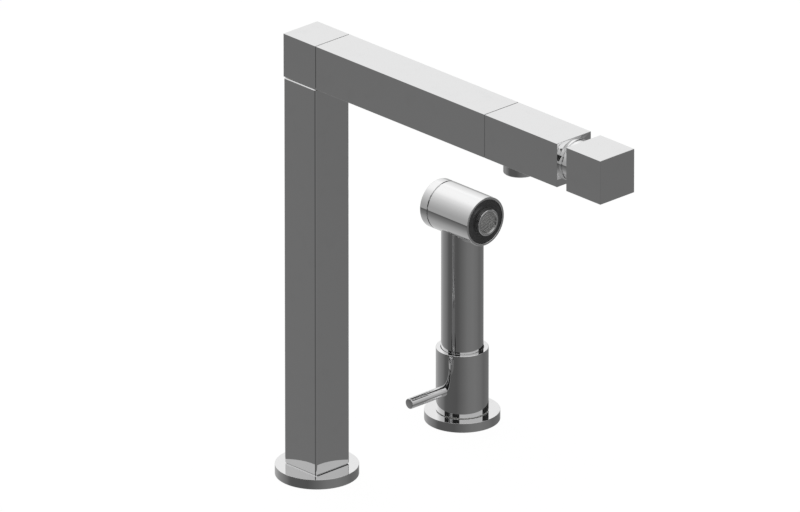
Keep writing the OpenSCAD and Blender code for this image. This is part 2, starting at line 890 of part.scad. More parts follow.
module side_gasket() {
    color(rubber_colour)
    at_side()
        tube(foot_r - side_gasket_edge - fixed_gap,
            foot_r - side_gasket_edge - side_gasket_w + fixed_gap, side_gasket_h - fixed_gap);
}

module side_core() {
    color(brass_colour)
    at_side()
    difference() {
        union() {
            cylinder(r = foot_r, h = foot_h);
            cylinder(r = core_r, h = core_top_z);
        }
        translate([0, 0, -overrun]) cylinder(r = hose_bore_r, h = core_top_z);
        translate([0, 0, hose_bore_h]) cylinder(r = bush_r + fixed_gap, h = core_top_z);
        translate([0, 0, -overrun])
            tube(foot_r - side_gasket_edge, foot_r - side_gasket_edge - side_gasket_w,
                side_gasket_h + overrun);
        for (angle = socket_angles) rotate([0, 0, angle]) {
            translate([socket_radius, 0, -overrun])
                cylinder(r = socket_tap_r, h = socket_depth + overrun);
            translate([side_way_radius, 0, 0]) cylinder(r = side_way_r, h = side_port_z);
            translate([side_way_radius, 0, side_port_z])
                along_x() cylinder(r = side_way_r, h = core_r);
        }
        for (side = [-1, 1])
            translate([side * side_stud_spacing / 2, 0, -overrun])
                cylinder(r = stud_tap_r, h = side_stud_depth + overrun);
        for (side = [-1, 1])
            translate([0, 0, side_port_z + side * core_ring_offset])
                ring_cut(core_ring_floor_r, core_r + overrun, core_ring_groove_w);
        translate([0, 0, lever_z]) rotate([0, 0, lever_angle / 2 - 90])
            sector_cut(core_r - lever_groove_depth, core_r + overrun,
                2 * (lever_tip_r + lever_play),
                lever_angle / 2 + asin(lever_tip_r / (core_r - lever_tip_reach)) + stop_play_angle);
    }
}

module core_o_rings() {
    color(rubber_colour)
    at_side()
    for (side = [-1, 1])
        translate([0, 0, side_port_z + side * core_ring_offset])
            seal_ring(core_ring_floor_r, sleeve_bore_r);
}

module guide_bush() {
    top_z = core_top_z + bush_flange_t;
    color(black_colour)
    at_side()
        rotate_extrude()
            polygon([
                [guide_bore_r, hose_bore_h], [bush_r, hose_bore_h], [bush_r, core_top_z],
                [bush_flange_r, core_top_z], [bush_flange_r, top_z],
                [guide_bore_r + bush_mouth, top_z], [guide_bore_r, top_z - bush_mouth]
            ]);
}

module rest_ring() {
    color(rubber_colour)
    at_side() translate([0, 0, core_top_z + bush_flange_t])
        tube(handle_r, handle_r - rest_ring_w, rest_ring_t - face_gap);
}

module sleeve_slide_ring() {
    color(plastic_colour)
    at_side() translate([0, 0, side_flange_h])
        tube(core_r + running_gap + sleeve_ring_w, core_r + running_gap, sleeve_ring_t);
}

module valve_sleeve() {
    color(chrome_colour)
    at_side()
    difference() {
        translate([0, 0, sleeve_start_z])
            bevelled_cylinder(sleeve_r, sleeve_top_z - sleeve_start_z, sleeve_chamfer);
        translate([0, 0, sleeve_start_z - overrun])
            cylinder(r = sleeve_bore_r, h = core_top_z - sleeve_start_z + 2 * overrun);
        translate([0, 0, core_top_z]) cylinder(r = socket_r, h = sleeve_top_z - sleeve_lip_h - core_top_z);
        translate([0, 0, core_top_z]) cylinder(r = handle_r + sleeve_lip_play, h = sleeve_top_z);
        translate([0, 0, side_port_z])
            sector_cut(core_r - overrun, sleeve_bore_r + pocket_depth, 2 * pocket_half_h,
                pocket_angle / 2);
        translate([0, 0, lever_z]) rotate([90, 0, 0]) {
            cylinder(r = lever_thread_r, h = sleeve_r);
            translate([0, 0, sleeve_r - lever_seat_depth])
                cylinder(r = lever_d / 2 + fixed_gap, h = lever_seat_depth + overrun);
        }
    }
}

module lever_rod() {
    tip_y = core_r - lever_tip_reach;
    seat_y = sleeve_r - lever_seat_depth;
    color(chrome_colour)
    at_side() translate([0, 0, lever_z]) rotate([90, 0, 0]) {
        translate([0, 0, tip_y]) cylinder(r = lever_tip_r, h = seat_y - tip_y);
        translate([0, 0, sleeve_bore_r + running_gap])
            cylinder(r = lever_thread_r - fixed_gap, h = seat_y - sleeve_bore_r);
        translate([0, 0, seat_y]) bevelled_cylinder(lever_d / 2, lever_reach - seat_y, lever_bevel);
    }
}

module swivel_connector() {
    bottom_z = handle_start_z - face_gap - connector_l;
    color(steel_colour)
    at_side() translate([0, 0, bottom_z])
    difference() {
        union() {
            cylinder(r = connector_r - connector_nose, h = connector_nose + overrun);
            translate([0, 0, connector_nose])
                cylinder(r = connector_r, h = connector_l - connector_nose);
            cylinder(r = spigot_r, h = connector_l + spigot_top_h);
        }
        translate([0, 0, -overrun]) cylinder(r = connector_tap_r, h = connector_tap_l + overrun);
        cylinder(r = connector_bore_r, h = connector_l + spigot_top_h + overrun);
        translate([0, 0, connector_l + swivel_l / 2])
            ring_cut(spigot_floor_r, spigot_r + overrun, pipe_ring_groove_w);
        translate([0, 0, connector_l + swivel_l + 2 * face_gap + handle_clip_t / 2])
            ring_cut(handle_clip_floor_r, spigot_r + overrun, handle_clip_t + fixed_gap);
    }
}

module connector_o_ring() {
    color(rubber_colour)
    at_side() translate([0, 0, handle_start_z - face_gap + swivel_l / 2])
        seal_ring(spigot_floor_r, spigot_r + running_gap);
}

module handle_plug() {
    color(brass_colour)
    at_side() translate([0, 0, handle_start_z])
    difference() {
        cylinder(r = handle_bore_r - fixed_gap, h = handle_plug_h);
        translate([0, 0, -overrun])
            cylinder(r = spigot_r + running_gap, h = handle_plug_h + 2 * overrun);
        translate([0, 0, swivel_l]) cylinder(r = plug_chamber_r, h = plug_chamber_h + overrun);
    }
}

module handle_clip() {
    color(steel_colour)
    at_side() translate([0, 0, handle_start_z - face_gap + swivel_l + 2 * face_gap])
        ring_clip(handle_clip_r, handle_clip_floor_r + fixed_gap, handle_clip_t, clip_gap_w);
}

module handle_tube() {
    color(chrome_colour)
    at_side()
    difference() {
        translate([0, 0, handle_start_z]) tube(handle_r, handle_bore_r, head_z - handle_start_z);
        translate([-handle_r - overrun, 0, head_z])
            along_x() cylinder(r = head_r + fixed_gap, h = 2 * (handle_r + overrun));
    }
}

module head_shell() {
    start_x = cap_l - head_back;
    color(chrome_colour)
    at_side() translate([0, 0, head_z])
    difference() {
        translate([start_x, 0, 0]) along_x() cylinder(r = head_r, h = head_front - start_x);
        translate([start_x - overrun, 0, 0])
            along_x() cylinder(r = head_bore_r, h = head_front - start_x + 2 * overrun);
        translate([0, 0, -head_r - overrun]) cylinder(r = head_hole_r, h = head_r);
    }
}

module back_cap() {
    spigot_r_in = head_bore_r - fixed_gap;
    seal_z = cap_l + cap_spigot_l / 2;
    color(chrome_colour)
    at_side() translate([-head_back, 0, head_z])
    along_x()
    difference() {
        union() {
            rotate_extrude() {
                square([head_r - cap_edge_r, cap_l - seam_w]);
                translate([0, cap_edge_r]) square([head_r, cap_l - seam_w - cap_edge_r]);
                translate([head_r - cap_edge_r, cap_edge_r]) circle(r = cap_edge_r, $fn = 32);
            }
            cylinder(r = spigot_r_in, h = cap_l + cap_spigot_l);
        }
        translate([0, 0, seal_z])
            ring_cut(head_bore_r - cap_seal_floor_w, head_r, cap_seal_groove_w);
    }
}

module back_cap_seal() {
    color(rubber_colour)
    at_side() translate([cap_l + cap_spigot_l / 2 - head_back, 0, head_z])
        along_x() seal_ring(head_bore_r - cap_seal_floor_w, head_bore_r);
}

module spray_face() {
    color(black_colour)
    at_side() translate([head_front - face_recess - face_l, 0, head_z])
    along_x() {
        tube(head_bore_r - fixed_gap, face_bore_r, face_l);
        translate([0, 0, face_l - overrun])
            tube(nozzle_r + fixed_gap + nozzle_collar_w, nozzle_r + fixed_gap, overrun + nozzle_collar_h);
    }
}

module nozzle_ring() {
    neck_r = face_bore_r - fixed_gap;
    base = nozzle_neck_l;
    tip = nozzle_neck_l + face_recess + nozzle_proud;
    color(chrome_colour)
    at_side() translate([head_front - face_recess - nozzle_neck_l, 0, head_z])
    along_x()
        rotate_extrude()
            polygon([
                [nozzle_bore_r, 0], [neck_r, 0], [neck_r, base], [nozzle_r, base],
                [nozzle_r, tip - nozzle_bevel], [nozzle_r - nozzle_bevel, tip], [nozzle_seat_r, tip],
                [nozzle_seat_r, tip - nozzle_seat_l], [nozzle_bore_r, tip - nozzle_seat_l]
            ]);
}

module nozzle_mesh() {
    color(steel_colour)
    at_side() translate([head_front + nozzle_proud - nozzle_seat_l, 0, head_z])
        along_x() mesh_disc(nozzle_seat_r - fixed_gap, nozzle_mesh_t, nozzle_cell_w);
}

module water_channel() {
    foot_z = handle_start_z + handle_plug_h - channel_foot_h;
    plate_x = head_front - face_recess - face_l - channel_plate_t;
    color(plastic_colour)
    at_side()
    difference() {
        union() {
            translate([0, 0, foot_z]) cylinder(r = plug_chamber_r - fixed_gap, h = channel_foot_h);
            translate([0, 0, foot_z]) cylinder(r = channel_r, h = head_z - foot_z);
            translate([0, 0, head_z]) sphere(r = channel_r);
            translate([0, 0, head_z]) along_x() cylinder(r = channel_r, h = plate_x);
            translate([plate_x, 0, head_z])
                along_x() cylinder(r = head_bore_r - fixed_gap, h = channel_plate_t);
        }
        translate([0, 0, foot_z - overrun]) cylinder(r = channel_bore_r, h = head_z - foot_z + overrun);
        translate([0, 0, head_z]) sphere(r = channel_bore_r);
        translate([0, 0, head_z])
            along_x() cylinder(r = channel_bore_r, h = plate_x + channel_plate_t + overrun);
    }
}

column_flange();
column_gasket();
column_base_plug();
column_tube();
riser_pipe();
riser_o_rings();
swivel_post();
swivel_o_rings();
swivel_slide_ring();
corner_block();
swivel_bush();
swivel_stop_screw();
arm_root_plug();
arm_tube();
arm_pipe();
arm_o_rings();
arm_tip_plug();
valve_block();
outlet_ring();
aerator_body();
aerator_mesh();
aerator_seal();
valve_seal();
fixed_disc();
valve_housing();
spindle_washer();
valve_collar();
moving_disc();
valve_spindle();
spindle_o_ring();
spindle_clip();
knob_insert();
knob_cube();
knob_grub_screw();
side_flange();
side_gasket();
side_core();
core_o_rings();
guide_bush();
rest_ring();
sleeve_slide_ring();
valve_sleeve();
lever_rod();
swivel_connector();
connector_o_ring();
handle_plug();
handle_clip();
handle_tube();
head_shell();
back_cap();
back_cap_seal();
spray_face();
nozzle_ring();
nozzle_mesh();
water_channel();
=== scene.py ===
"""Looks of the side spray kitchen faucet: chrome pieces, inner finishes, studio and camera.

Everything is in metres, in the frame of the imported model.
"""

import json
import math

import bmesh
import bpy
from mathutils import Matrix, Vector


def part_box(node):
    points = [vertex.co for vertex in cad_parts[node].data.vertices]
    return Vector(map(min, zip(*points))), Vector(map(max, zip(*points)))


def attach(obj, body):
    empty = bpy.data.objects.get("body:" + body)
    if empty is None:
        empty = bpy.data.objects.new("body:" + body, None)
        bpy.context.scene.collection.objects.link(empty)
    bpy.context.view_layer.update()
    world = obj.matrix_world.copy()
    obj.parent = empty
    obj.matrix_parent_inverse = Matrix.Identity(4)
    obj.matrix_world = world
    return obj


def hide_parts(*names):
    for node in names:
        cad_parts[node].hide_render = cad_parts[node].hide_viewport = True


bl_info = {
    "name": "Side spray kitchen faucet",
    "version": (1, 0, 0),
    "blender": (4, 5, 0),
    "location": "3D View > Sidebar > Faucet",
    "description": "Builds the polished pieces of a side spray kitchen faucet round its CAD model",
    "category": "Object",
}

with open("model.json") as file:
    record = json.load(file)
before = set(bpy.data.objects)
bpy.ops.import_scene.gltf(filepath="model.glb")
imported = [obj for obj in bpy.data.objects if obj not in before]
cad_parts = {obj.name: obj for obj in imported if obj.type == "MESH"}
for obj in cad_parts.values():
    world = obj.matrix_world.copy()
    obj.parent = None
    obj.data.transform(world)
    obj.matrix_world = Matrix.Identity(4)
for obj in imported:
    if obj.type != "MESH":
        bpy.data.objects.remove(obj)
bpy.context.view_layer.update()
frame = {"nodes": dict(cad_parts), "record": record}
MM = 0.001
X, Y, Z = 0, 1, 2
ORIGIN = Vector((0, 0, 0))

# Corner radii that many outlines share, in millimetres
SHARP, HAIR, FINE, SOFT = 0, 0.1, 0.2, 0.3
# Gap between fitted pieces and wall of the square tubes, in millimetres
FIT = 0.03
TUBE_WALL = 1.6

# Points on a rounded corner, points round a bore or rod, and the angle above which an edge stays sharp
CORNER_STEPS = 6
ROUND_STEPS = 96
SHARP_ANGLE = math.radians(28)
# Distances in metres below which points count as one, in a CAD node and in a honeycomb, and below which
# a point counts as on a face of its box
SAME_POINT = 1e-7
SAME_CORNER = 1e-6
ON_FACE = 1e-6


class Place:
    """Box of a CAD node at rest in metres, and its measures along an axis in millimetres."""

    def __init__(self, node):
        self.low, self.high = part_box(node)
        self.middle = (self.low + self.high) / 2
        self.size = self.high - self.low

    def start(self, axis):
        return self.low[axis] / MM

    def end(self, axis):
        return self.high[axis] / MM

    def length(self, axis):
        return self.size[axis] / MM

    def half(self, axis):
        return self.size[axis] / 2 / MM


def linear(grey):
    """Linear light of a display grey from 0 to 255."""
    share = grey / 255
    return share / 12.92 if share <= 0.04045 else ((share + 0.055) / 1.055) ** 2.4


# Nodes of shaders and geometry


class Wire:
    """Socket of a tree, which Python's operators extend with Math nodes."""

    def __init__(self, tree, socket):
        self.tree = tree
        self.socket = socket

    def math(self, operation, *others):
        return self.tree.math(operation, self, *others)

    def __add__(self, other):
        return self.tree.math("ADD", self, other)

    def __radd__(self, other):
        return self.tree.math("ADD", other, self)

    def __sub__(self, other):
        return self.tree.math("SUBTRACT", self, other)

    def __rsub__(self, other):
        return self.tree.math("SUBTRACT", other, self)

    def __mul__(self, other):
        return self.tree.math("MULTIPLY", self, other)

    def __rmul__(self, other):
        return self.tree.math("MULTIPLY", other, self)

    def __truediv__(self, other):
        return self.tree.math("DIVIDE", self, other)

    def __rtruediv__(self, other):
        return self.tree.math("DIVIDE", other, self)

    def __lt__(self, other):
        return self.tree.math("LESS_THAN", self, other)

    def __gt__(self, other):
        return self.tree.math("GREATER_THAN", self, other)

    def smooth(self, start, end):
        """0 below start, 1 above end, and an even curve between them."""
        return self.tree.add(
            "ShaderNodeMapRange",
            {"interpolation_type": "SMOOTHSTEP"},
            {"Value": self, "From Min": start, "From Max": end},
        )


class Tree:
    """Node tree whose nodes all come from one method."""

    def __init__(self, node_tree):
        self.nodes = node_tree.nodes
        self.links = node_tree.links
        self.nodes.clear()

    def add(self, kind, settings=None, values=None, output=0):
        """Adds a node, sets it up, fills or links its sockets, and returns one of its outputs."""
        node = self.nodes.new(kind)
        for name, setting in (settings or {}).items():
            if name == "stops":
                self.set_stops(node.color_ramp, setting)
            else:
                setattr(node, name, setting)
        for name, value in (values or {}).items():
            socket = node.inputs[name]
            for one in value if isinstance(value, list) else [value]:
                if isinstance(one, Wire):
                    self.links.new(one.socket, socket)
                else:
                    socket.default_value = one
        return Wire(self, node.outputs[output]) if node.outputs else None

    @staticmethod
    def set_stops(ramp, stops):
        """Fills a ramp with (place, grey level) stops."""
        for place, level in stops[1:-1]:
            ramp.elements.new(place).color = (level, level, level, 1)
        for index, (place, level) in ((0, stops[0]), (-1, stops[-1])):
            ramp.elements[index].position = place
            ramp.elements[index].color = (level, level, level, 1)

    def math(self, operation, *values):
        return self.add("ShaderNodeMath", {"operation": operation}, dict(enumerate(values)))

    def other(self, wire, output):
        """Another output of the node that a wire comes from."""
        return Wire(self, wire.socket.node.outputs[output])


# Finishes


def new_finish(name):
    material = bpy.data.materials.new(name)
    material.use_nodes = True
    return material, Tree(material.node_tree)


def close_finish(tree, values):
    shader = tree.add("ShaderNodeBsdfPrincipled", None, values)
    tree.add("ShaderNodeOutputMaterial", None, {"Surface": shader})


def noise(tree, place, scale, detail):
    """Noise of about 0 to 1, with scale waves in a metre."""
    return tree.add(
        "ShaderNodeTexNoise",
        {"noise_dimensions": "3D"},
        {"Vector": place, "Scale": scale, "Detail": detail, "Roughness": 0.55},
        "Fac",
    )


def swing(wire, reach):
    """A noise's swing round its middle, times a reach."""
    middle = 0.5
    return reach * (wire - middle)


def tint(tree, factor, low, high):
    """Colour between two colours, by a factor."""
    share, first, second, result = 0, 6, 7, 2
    return tree.add(
        "ShaderNodeMix",
        {"data_type": "RGBA"},
        {share: factor, first: (*low, 1.0), second: (*high, 1.0)},
        result,
    )


def dimmed(colour, share):
    return tuple(channel * share for channel in colour)


def object_place(tree):
    return tree.add("ShaderNodeTexCoord", output="Object")


def chrome_finish(name, colour, roughness, ripple):
    """Polished chrome with a buffer's faint waves, wipe marks and pin-sized dust."""
    wipe_share, haze_share, haze_height, dulling = 0.9, 0.4, 0.004, 0.975
    material, tree = new_finish(name)
    place = object_place(tree)
    wipes = noise(tree, place, scale=70.0, detail=5.0)
    haze = noise(tree, place, scale=900.0, detail=2.0)
    waves = noise(tree, place, scale=28.0, detail=1.0)
    rough = roughness + roughness * wipe_share * wipes.smooth(0.45, 0.75) + roughness * haze_share * haze
    base = tint(tree, wipes.smooth(0.5, 0.8), colour, dimmed(colour, dulling))
    height = waves + haze_height * haze
    bump = tree.add("ShaderNodeBump", None, {"Strength": 1.0, "Distance": ripple, "Height": height})
    close_finish(tree, {"Base Color": base, "Metallic": 1.0, "Roughness": rough, "Normal": bump})
    return material


def turned_finish(name, colour, roughness, step):
    """Lathe-turned or drawn metal with fine tool marks, a step apart."""
    mark_depth, stain_share = 0.1, 0.8
    material, tree = new_finish(name)
    place = object_place(tree)
    marks = noise(tree, place, scale=1 / step, detail=4.0)
    stains = noise(tree, place, scale=45.0, detail=4.0)
    base = tint(tree, stains.smooth(0.4, 0.75), colour, dimmed(colour, stain_share))
    rough = roughness + swing(marks, 0.12) + swing(stains, 0.1)
    bump = tree.add(
        "ShaderNodeBump", None, {"Strength": 0.35, "Distance": step * mark_depth, "Height": marks}
    )
    close_finish(tree, {"Base Color": base, "Metallic": 1.0, "Roughness": rough, "Normal": bump})
    return material


def moulded_finish(name, colour, roughness, grain_step, grain_depth):
    """Moulded rubber, plastic or pressed ceramic with a fine grain and slight colour drift."""
    drift_share = 0.82
    material, tree = new_finish(name)
    place = object_place(tree)
    grain = noise(tree, place, scale=1 / grain_step, detail=3.0)
    drift = noise(tree, place, scale=60.0, detail=3.0)
    base = tint(tree, drift.smooth(0.35, 0.7), dimmed(colour, drift_share), colour)
    rough = roughness + swing(grain, 0.12) + swing(drift, 0.08)
    bump = tree.add("ShaderNodeBump", None, {"Strength": 0.6, "Distance": grain_depth, "Height": grain})
    close_finish(tree, {"Base Color": base, "Metallic": 0.0, "Roughness": rough, "Normal": bump})
    return material


# Maker, colour setting, roughness and size of the tool marks or grain of each slot apart from chrome,
# and of a moulded one the grain's depth
FINISHES = {
    "steel": (turned_finish, "steel_colour", 0.24, 0.3 * MM),
    "brass": (turned_finish, "brass_colour", 0.3, 0.4 * MM),
    "rubber": (moulded_finish, "rubber_colour", 0.62, 0.25 * MM, 0.02 * MM),
    "black_plastic": (moulded_finish, "black_colour", 0.22, 0.4 * MM, 0.004 * MM),
    "white_plastic": (moulded_finish, "white_colour", 0.38, 0.35 * MM, 0.01 * MM),
    "ceramic": (moulded_finish, "ceramic_colour", 0.16, 0.5 * MM, 0.004 * MM),
}


def finish(slot):
    """Material of a slot, made on its first use."""
    name = "faucet_" + slot
    made = bpy.data.materials.get(name)
    if made:
        return made
    looks = bpy.context.scene.faucet_finishes
    if slot == "chrome":
        return chrome_finish(name, tuple(looks.chrome_colour), looks.chrome_roughness, looks.ripple)
    if slot not in FINISHES:
        raise ValueError("there is no finish for slot " + slot)
    make, colour, *surface = FINISHES[slot]
    return make(name, tuple(getattr(looks, colour)), *surface)


# Meshes


def round_corners(points):
    """Outline whose corners given as (across, along, radius) are rounded."""
    outline = []
    count = len(points)
    for index, (x, y, radius) in enumerate(points):
        here = Vector((x, y))
        before = Vector(points[index - 1][:2]) - here
        after = Vector(points[(index + 1) % count][:2]) - here
        if radius <= 0:
            outline.append(here)
            continue
        half = before.angle(after) / 2
        reach = radius / math.tan(half)
        middle = here + (before.normalized() + after.normalized()).normalized() * radius / math.sin(half)
        start = here + before.normalized() * reach - middle
        end = here + after.normalized() * reach - middle
        turn = start.angle_signed(end)
        for step in range(CORNER_STEPS + 1):
            spun = Matrix.Rotation(-turn * step / CORNER_STEPS, 2) @ start
            outline.append(middle + spun)
    return outline


def new_piece(name, mesh, slot):
    """Links a mesh as a piece with the finish of its slot."""
    piece = bpy.data.objects.new(name, mesh)
    bpy.context.scene.collection.objects.link(piece)
    piece.data.materials.clear()
    piece.data.materials.append(finish(slot))
    return piece


def mesh_from(bm, name):
    """Closes a bmesh into a mesh with outward faces, smooth apart from its sharp edges."""
    bmesh.ops.recalc_face_normals(bm, faces=bm.faces)
    for face in bm.faces:
        face.smooth = True
    mesh = bpy.data.meshes.new(name)
    bm.to_mesh(mesh)
    bm.free()
    mesh.set_sharp_from_angle(angle=SHARP_ANGLE)
    return mesh


def make_plain(piece):
    """Applies the modifiers of a piece to its mesh."""
    graph = bpy.context.evaluated_depsgraph_get()
    made = bpy.data.meshes.new_from_object(
        piece.evaluated_get(graph), preserve_all_data_layers=True, depsgraph=graph
    )
    piece.modifiers.clear()
    made.name = piece.name
    piece.data = made
    return piece


def weigh_normals(piece):
    """Weights the normals by area, so that flats stay flat beside their rounded edges."""
    modifier = piece.modifiers.new("Flat faces", "WEIGHTED_NORMAL")
    modifier.keep_sharp = True
    modifier.weight = 100
    return make_plain(piece)


def axis_matrix(axis, origin):
    """Places a form that stands along +Z along another axis, at an origin."""
    quarter = math.radians(90)
    turns = {
        "Z": Matrix.Identity(4),
        "X": Matrix.Rotation(quarter, 4, "Y"),
        "-Y": Matrix.Rotation(quarter, 4, "X"),
    }
    return Matrix.Translation(origin) @ turns[axis]


def add_ring(bm, radius, height_of, steps, centre=ORIGIN):
    """Ring of points round an upright axis, each as high as height_of says for its angle."""
    ring = []
    for step in range(steps):
        angle = 2 * math.pi * step / steps
        ring.append(bm.verts.new((
            centre.x + radius * math.cos(angle),
            centre.y + radius * math.sin(angle),
            height_of(angle),
        )))
    return ring


def bridge(bm, rings, steps):
    """Joins each ring to the next and the last to the first. A ring may be a single point."""
    for index, ring in enumerate(rings):
        other = rings[(index + 1) % len(rings)]
        if len(ring) == 1 and len(other) == 1:
            continue
        for step in range(steps):
            following = (step + 1) % steps
            corners = [ring[step % len(ring)], ring[following % len(ring)]]
            corners += [other[following % len(other)], other[step % len(other)]]
            bm.faces.new(list(dict.fromkeys(corners)))


def lathe(name, points, axis, origin, slot, steps):
    """Piece turned from a closed outline of (radius, height, corner radius) points, in millimetres."""
    bm = bmesh.new()
    rings = []
    for point in round_corners(points):
        radius, height = point.x * MM, point.y * MM
        if radius < SAME_POINT:
            rings.append([bm.verts.new((0, 0, height))])
        else:
            rings.append(add_ring(bm, radius, lambda angle: height, steps))
    bridge(bm, rings, steps)
    bm.transform(axis_matrix(axis, origin))
    return weigh_normals(new_piece(name, mesh_from(bm, name), slot))


def square_loop(half, radius):
    """Points of a square with rounded corners."""
    radius = min(radius, half)
    quarter = math.pi / 2
    loop = []
    for side in range(4):
        turn = Matrix.Rotation(quarter * side, 2)
        for step in range(CORNER_STEPS + 1):
            angle = quarter * step / CORNER_STEPS
            across = half - radius + radius * math.cos(angle)
            along = half - radius + radius * math.sin(angle)
            loop.append(turn @ Vector((across, along)))
    return loop


def square_tube(name, levels, axis, origin, slot):
    """Square tube from (half width, corner radius, height) levels up its outside and down its inside."""
    bm = bmesh.new()
    rings = [
        [bm.verts.new((point.x * MM, point.y * MM, height * MM)) for point in square_loop(half, radius)]
        for half, radius, height in levels
    ]
    bridge(bm, rings, len(rings[0]))
    bm.transform(axis_matrix(axis, origin))
    return weigh_normals(new_piece(name, mesh_from(bm, name), slot))


def dressed_block(name, node, edge, slot):
    """Copy of a bored block of the CAD model whose outer edges are softened."""
    place = Place(node)
    bm = bmesh.new()
    bm.from_mesh(frame["nodes"][node].data)
    bmesh.ops.remove_doubles(bm, verts=bm.verts, dist=SAME_POINT)
    bmesh.ops.dissolve_limit(
        bm, angle_limit=math.radians(0.5), verts=bm.verts, edges=bm.edges, delimit={"NORMAL"}
    )

    def on_box(point, axis):
        return min(abs(point[axis] - place.low[axis]), abs(point[axis] - place.high[axis])) < ON_FACE

    outer = [
        rim for rim in bm.edges
        if sum(all(on_box(vert.co, axis) for vert in rim.verts) for axis in (X, Y, Z)) >= 2
    ]
    bmesh.ops.bevel(
        bm, geom=outer, offset=edge * MM, offset_type="OFFSET", segments=3, profile=0.5,
        affect="EDGES", clamp_overlap=True,
    )
    return weigh_normals(new_piece(name, mesh_from(bm, name), slot))


def add_rod(bm, radius, height, axis, origin):
    """Adds a plain round rod that starts at an origin."""
    bmesh.ops.create_cone(
        bm, cap_ends=True, segments=ROUND_STEPS, radius1=radius * MM, radius2=radius * MM,
        depth=height * MM, matrix=axis_matrix(axis, origin) @ Matrix.Translation((0, 0, height * MM / 2)),
    )


def cut_away(piece, radius, height, axis, origin):
    """Bores a round hole into a piece."""
    bm = bmesh.new()
    add_rod(bm, radius, height, axis, origin)
    tool = bpy.data.objects.new("tool", mesh_from(bm, "tool"))
    bpy.context.scene.collection.objects.link(tool)
    modifier = piece.modifiers.new("Bore", "BOOLEAN")
    modifier.operation = "DIFFERENCE"
    modifier.solver = "EXACT"
    modifier.object = tool
    make_plain(piece)
    bpy.data.objects.remove(tool)
    piece.data.set_sharp_from_angle(angle=SHARP_ANGLE)
    return weigh_normals(piece)


def add_disc(piece, radius, height, axis, origin):
    """Adds a plain round plate to a piece."""
    bm = bmesh.new()
    bm.from_mesh(piece.data)
    add_rod(bm, radius, height, axis, origin)
    bm.to_mesh(piece.data)
    bm.free()


def round_wall(piece, centre, radius):
    """Gives the wall of a bored upright cylinder the normals of its true round form."""
    slack, facing = 0.02 * MM, 0.95
    mesh = piece.data
    normals = [corner.vector.copy() for corner in mesh.corner_normals]
    for face in mesh.polygons:
        for corner in face.loop_indices:
            out = mesh.vertices[mesh.loops[corner].vertex_index].co - centre
            out.z = 0
            if abs(out.length - radius) < slack and face.normal.dot(out.normalized()) > facing:
                normals[corner] = out.normalized()
    mesh.normals_split_custom_set(normals)


def settle(piece, body, *nodes):
    """Hands a finished piece to its body in place of its CAD nodes."""
    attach(piece, body)
    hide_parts(*nodes)


# Honeycomb meshes


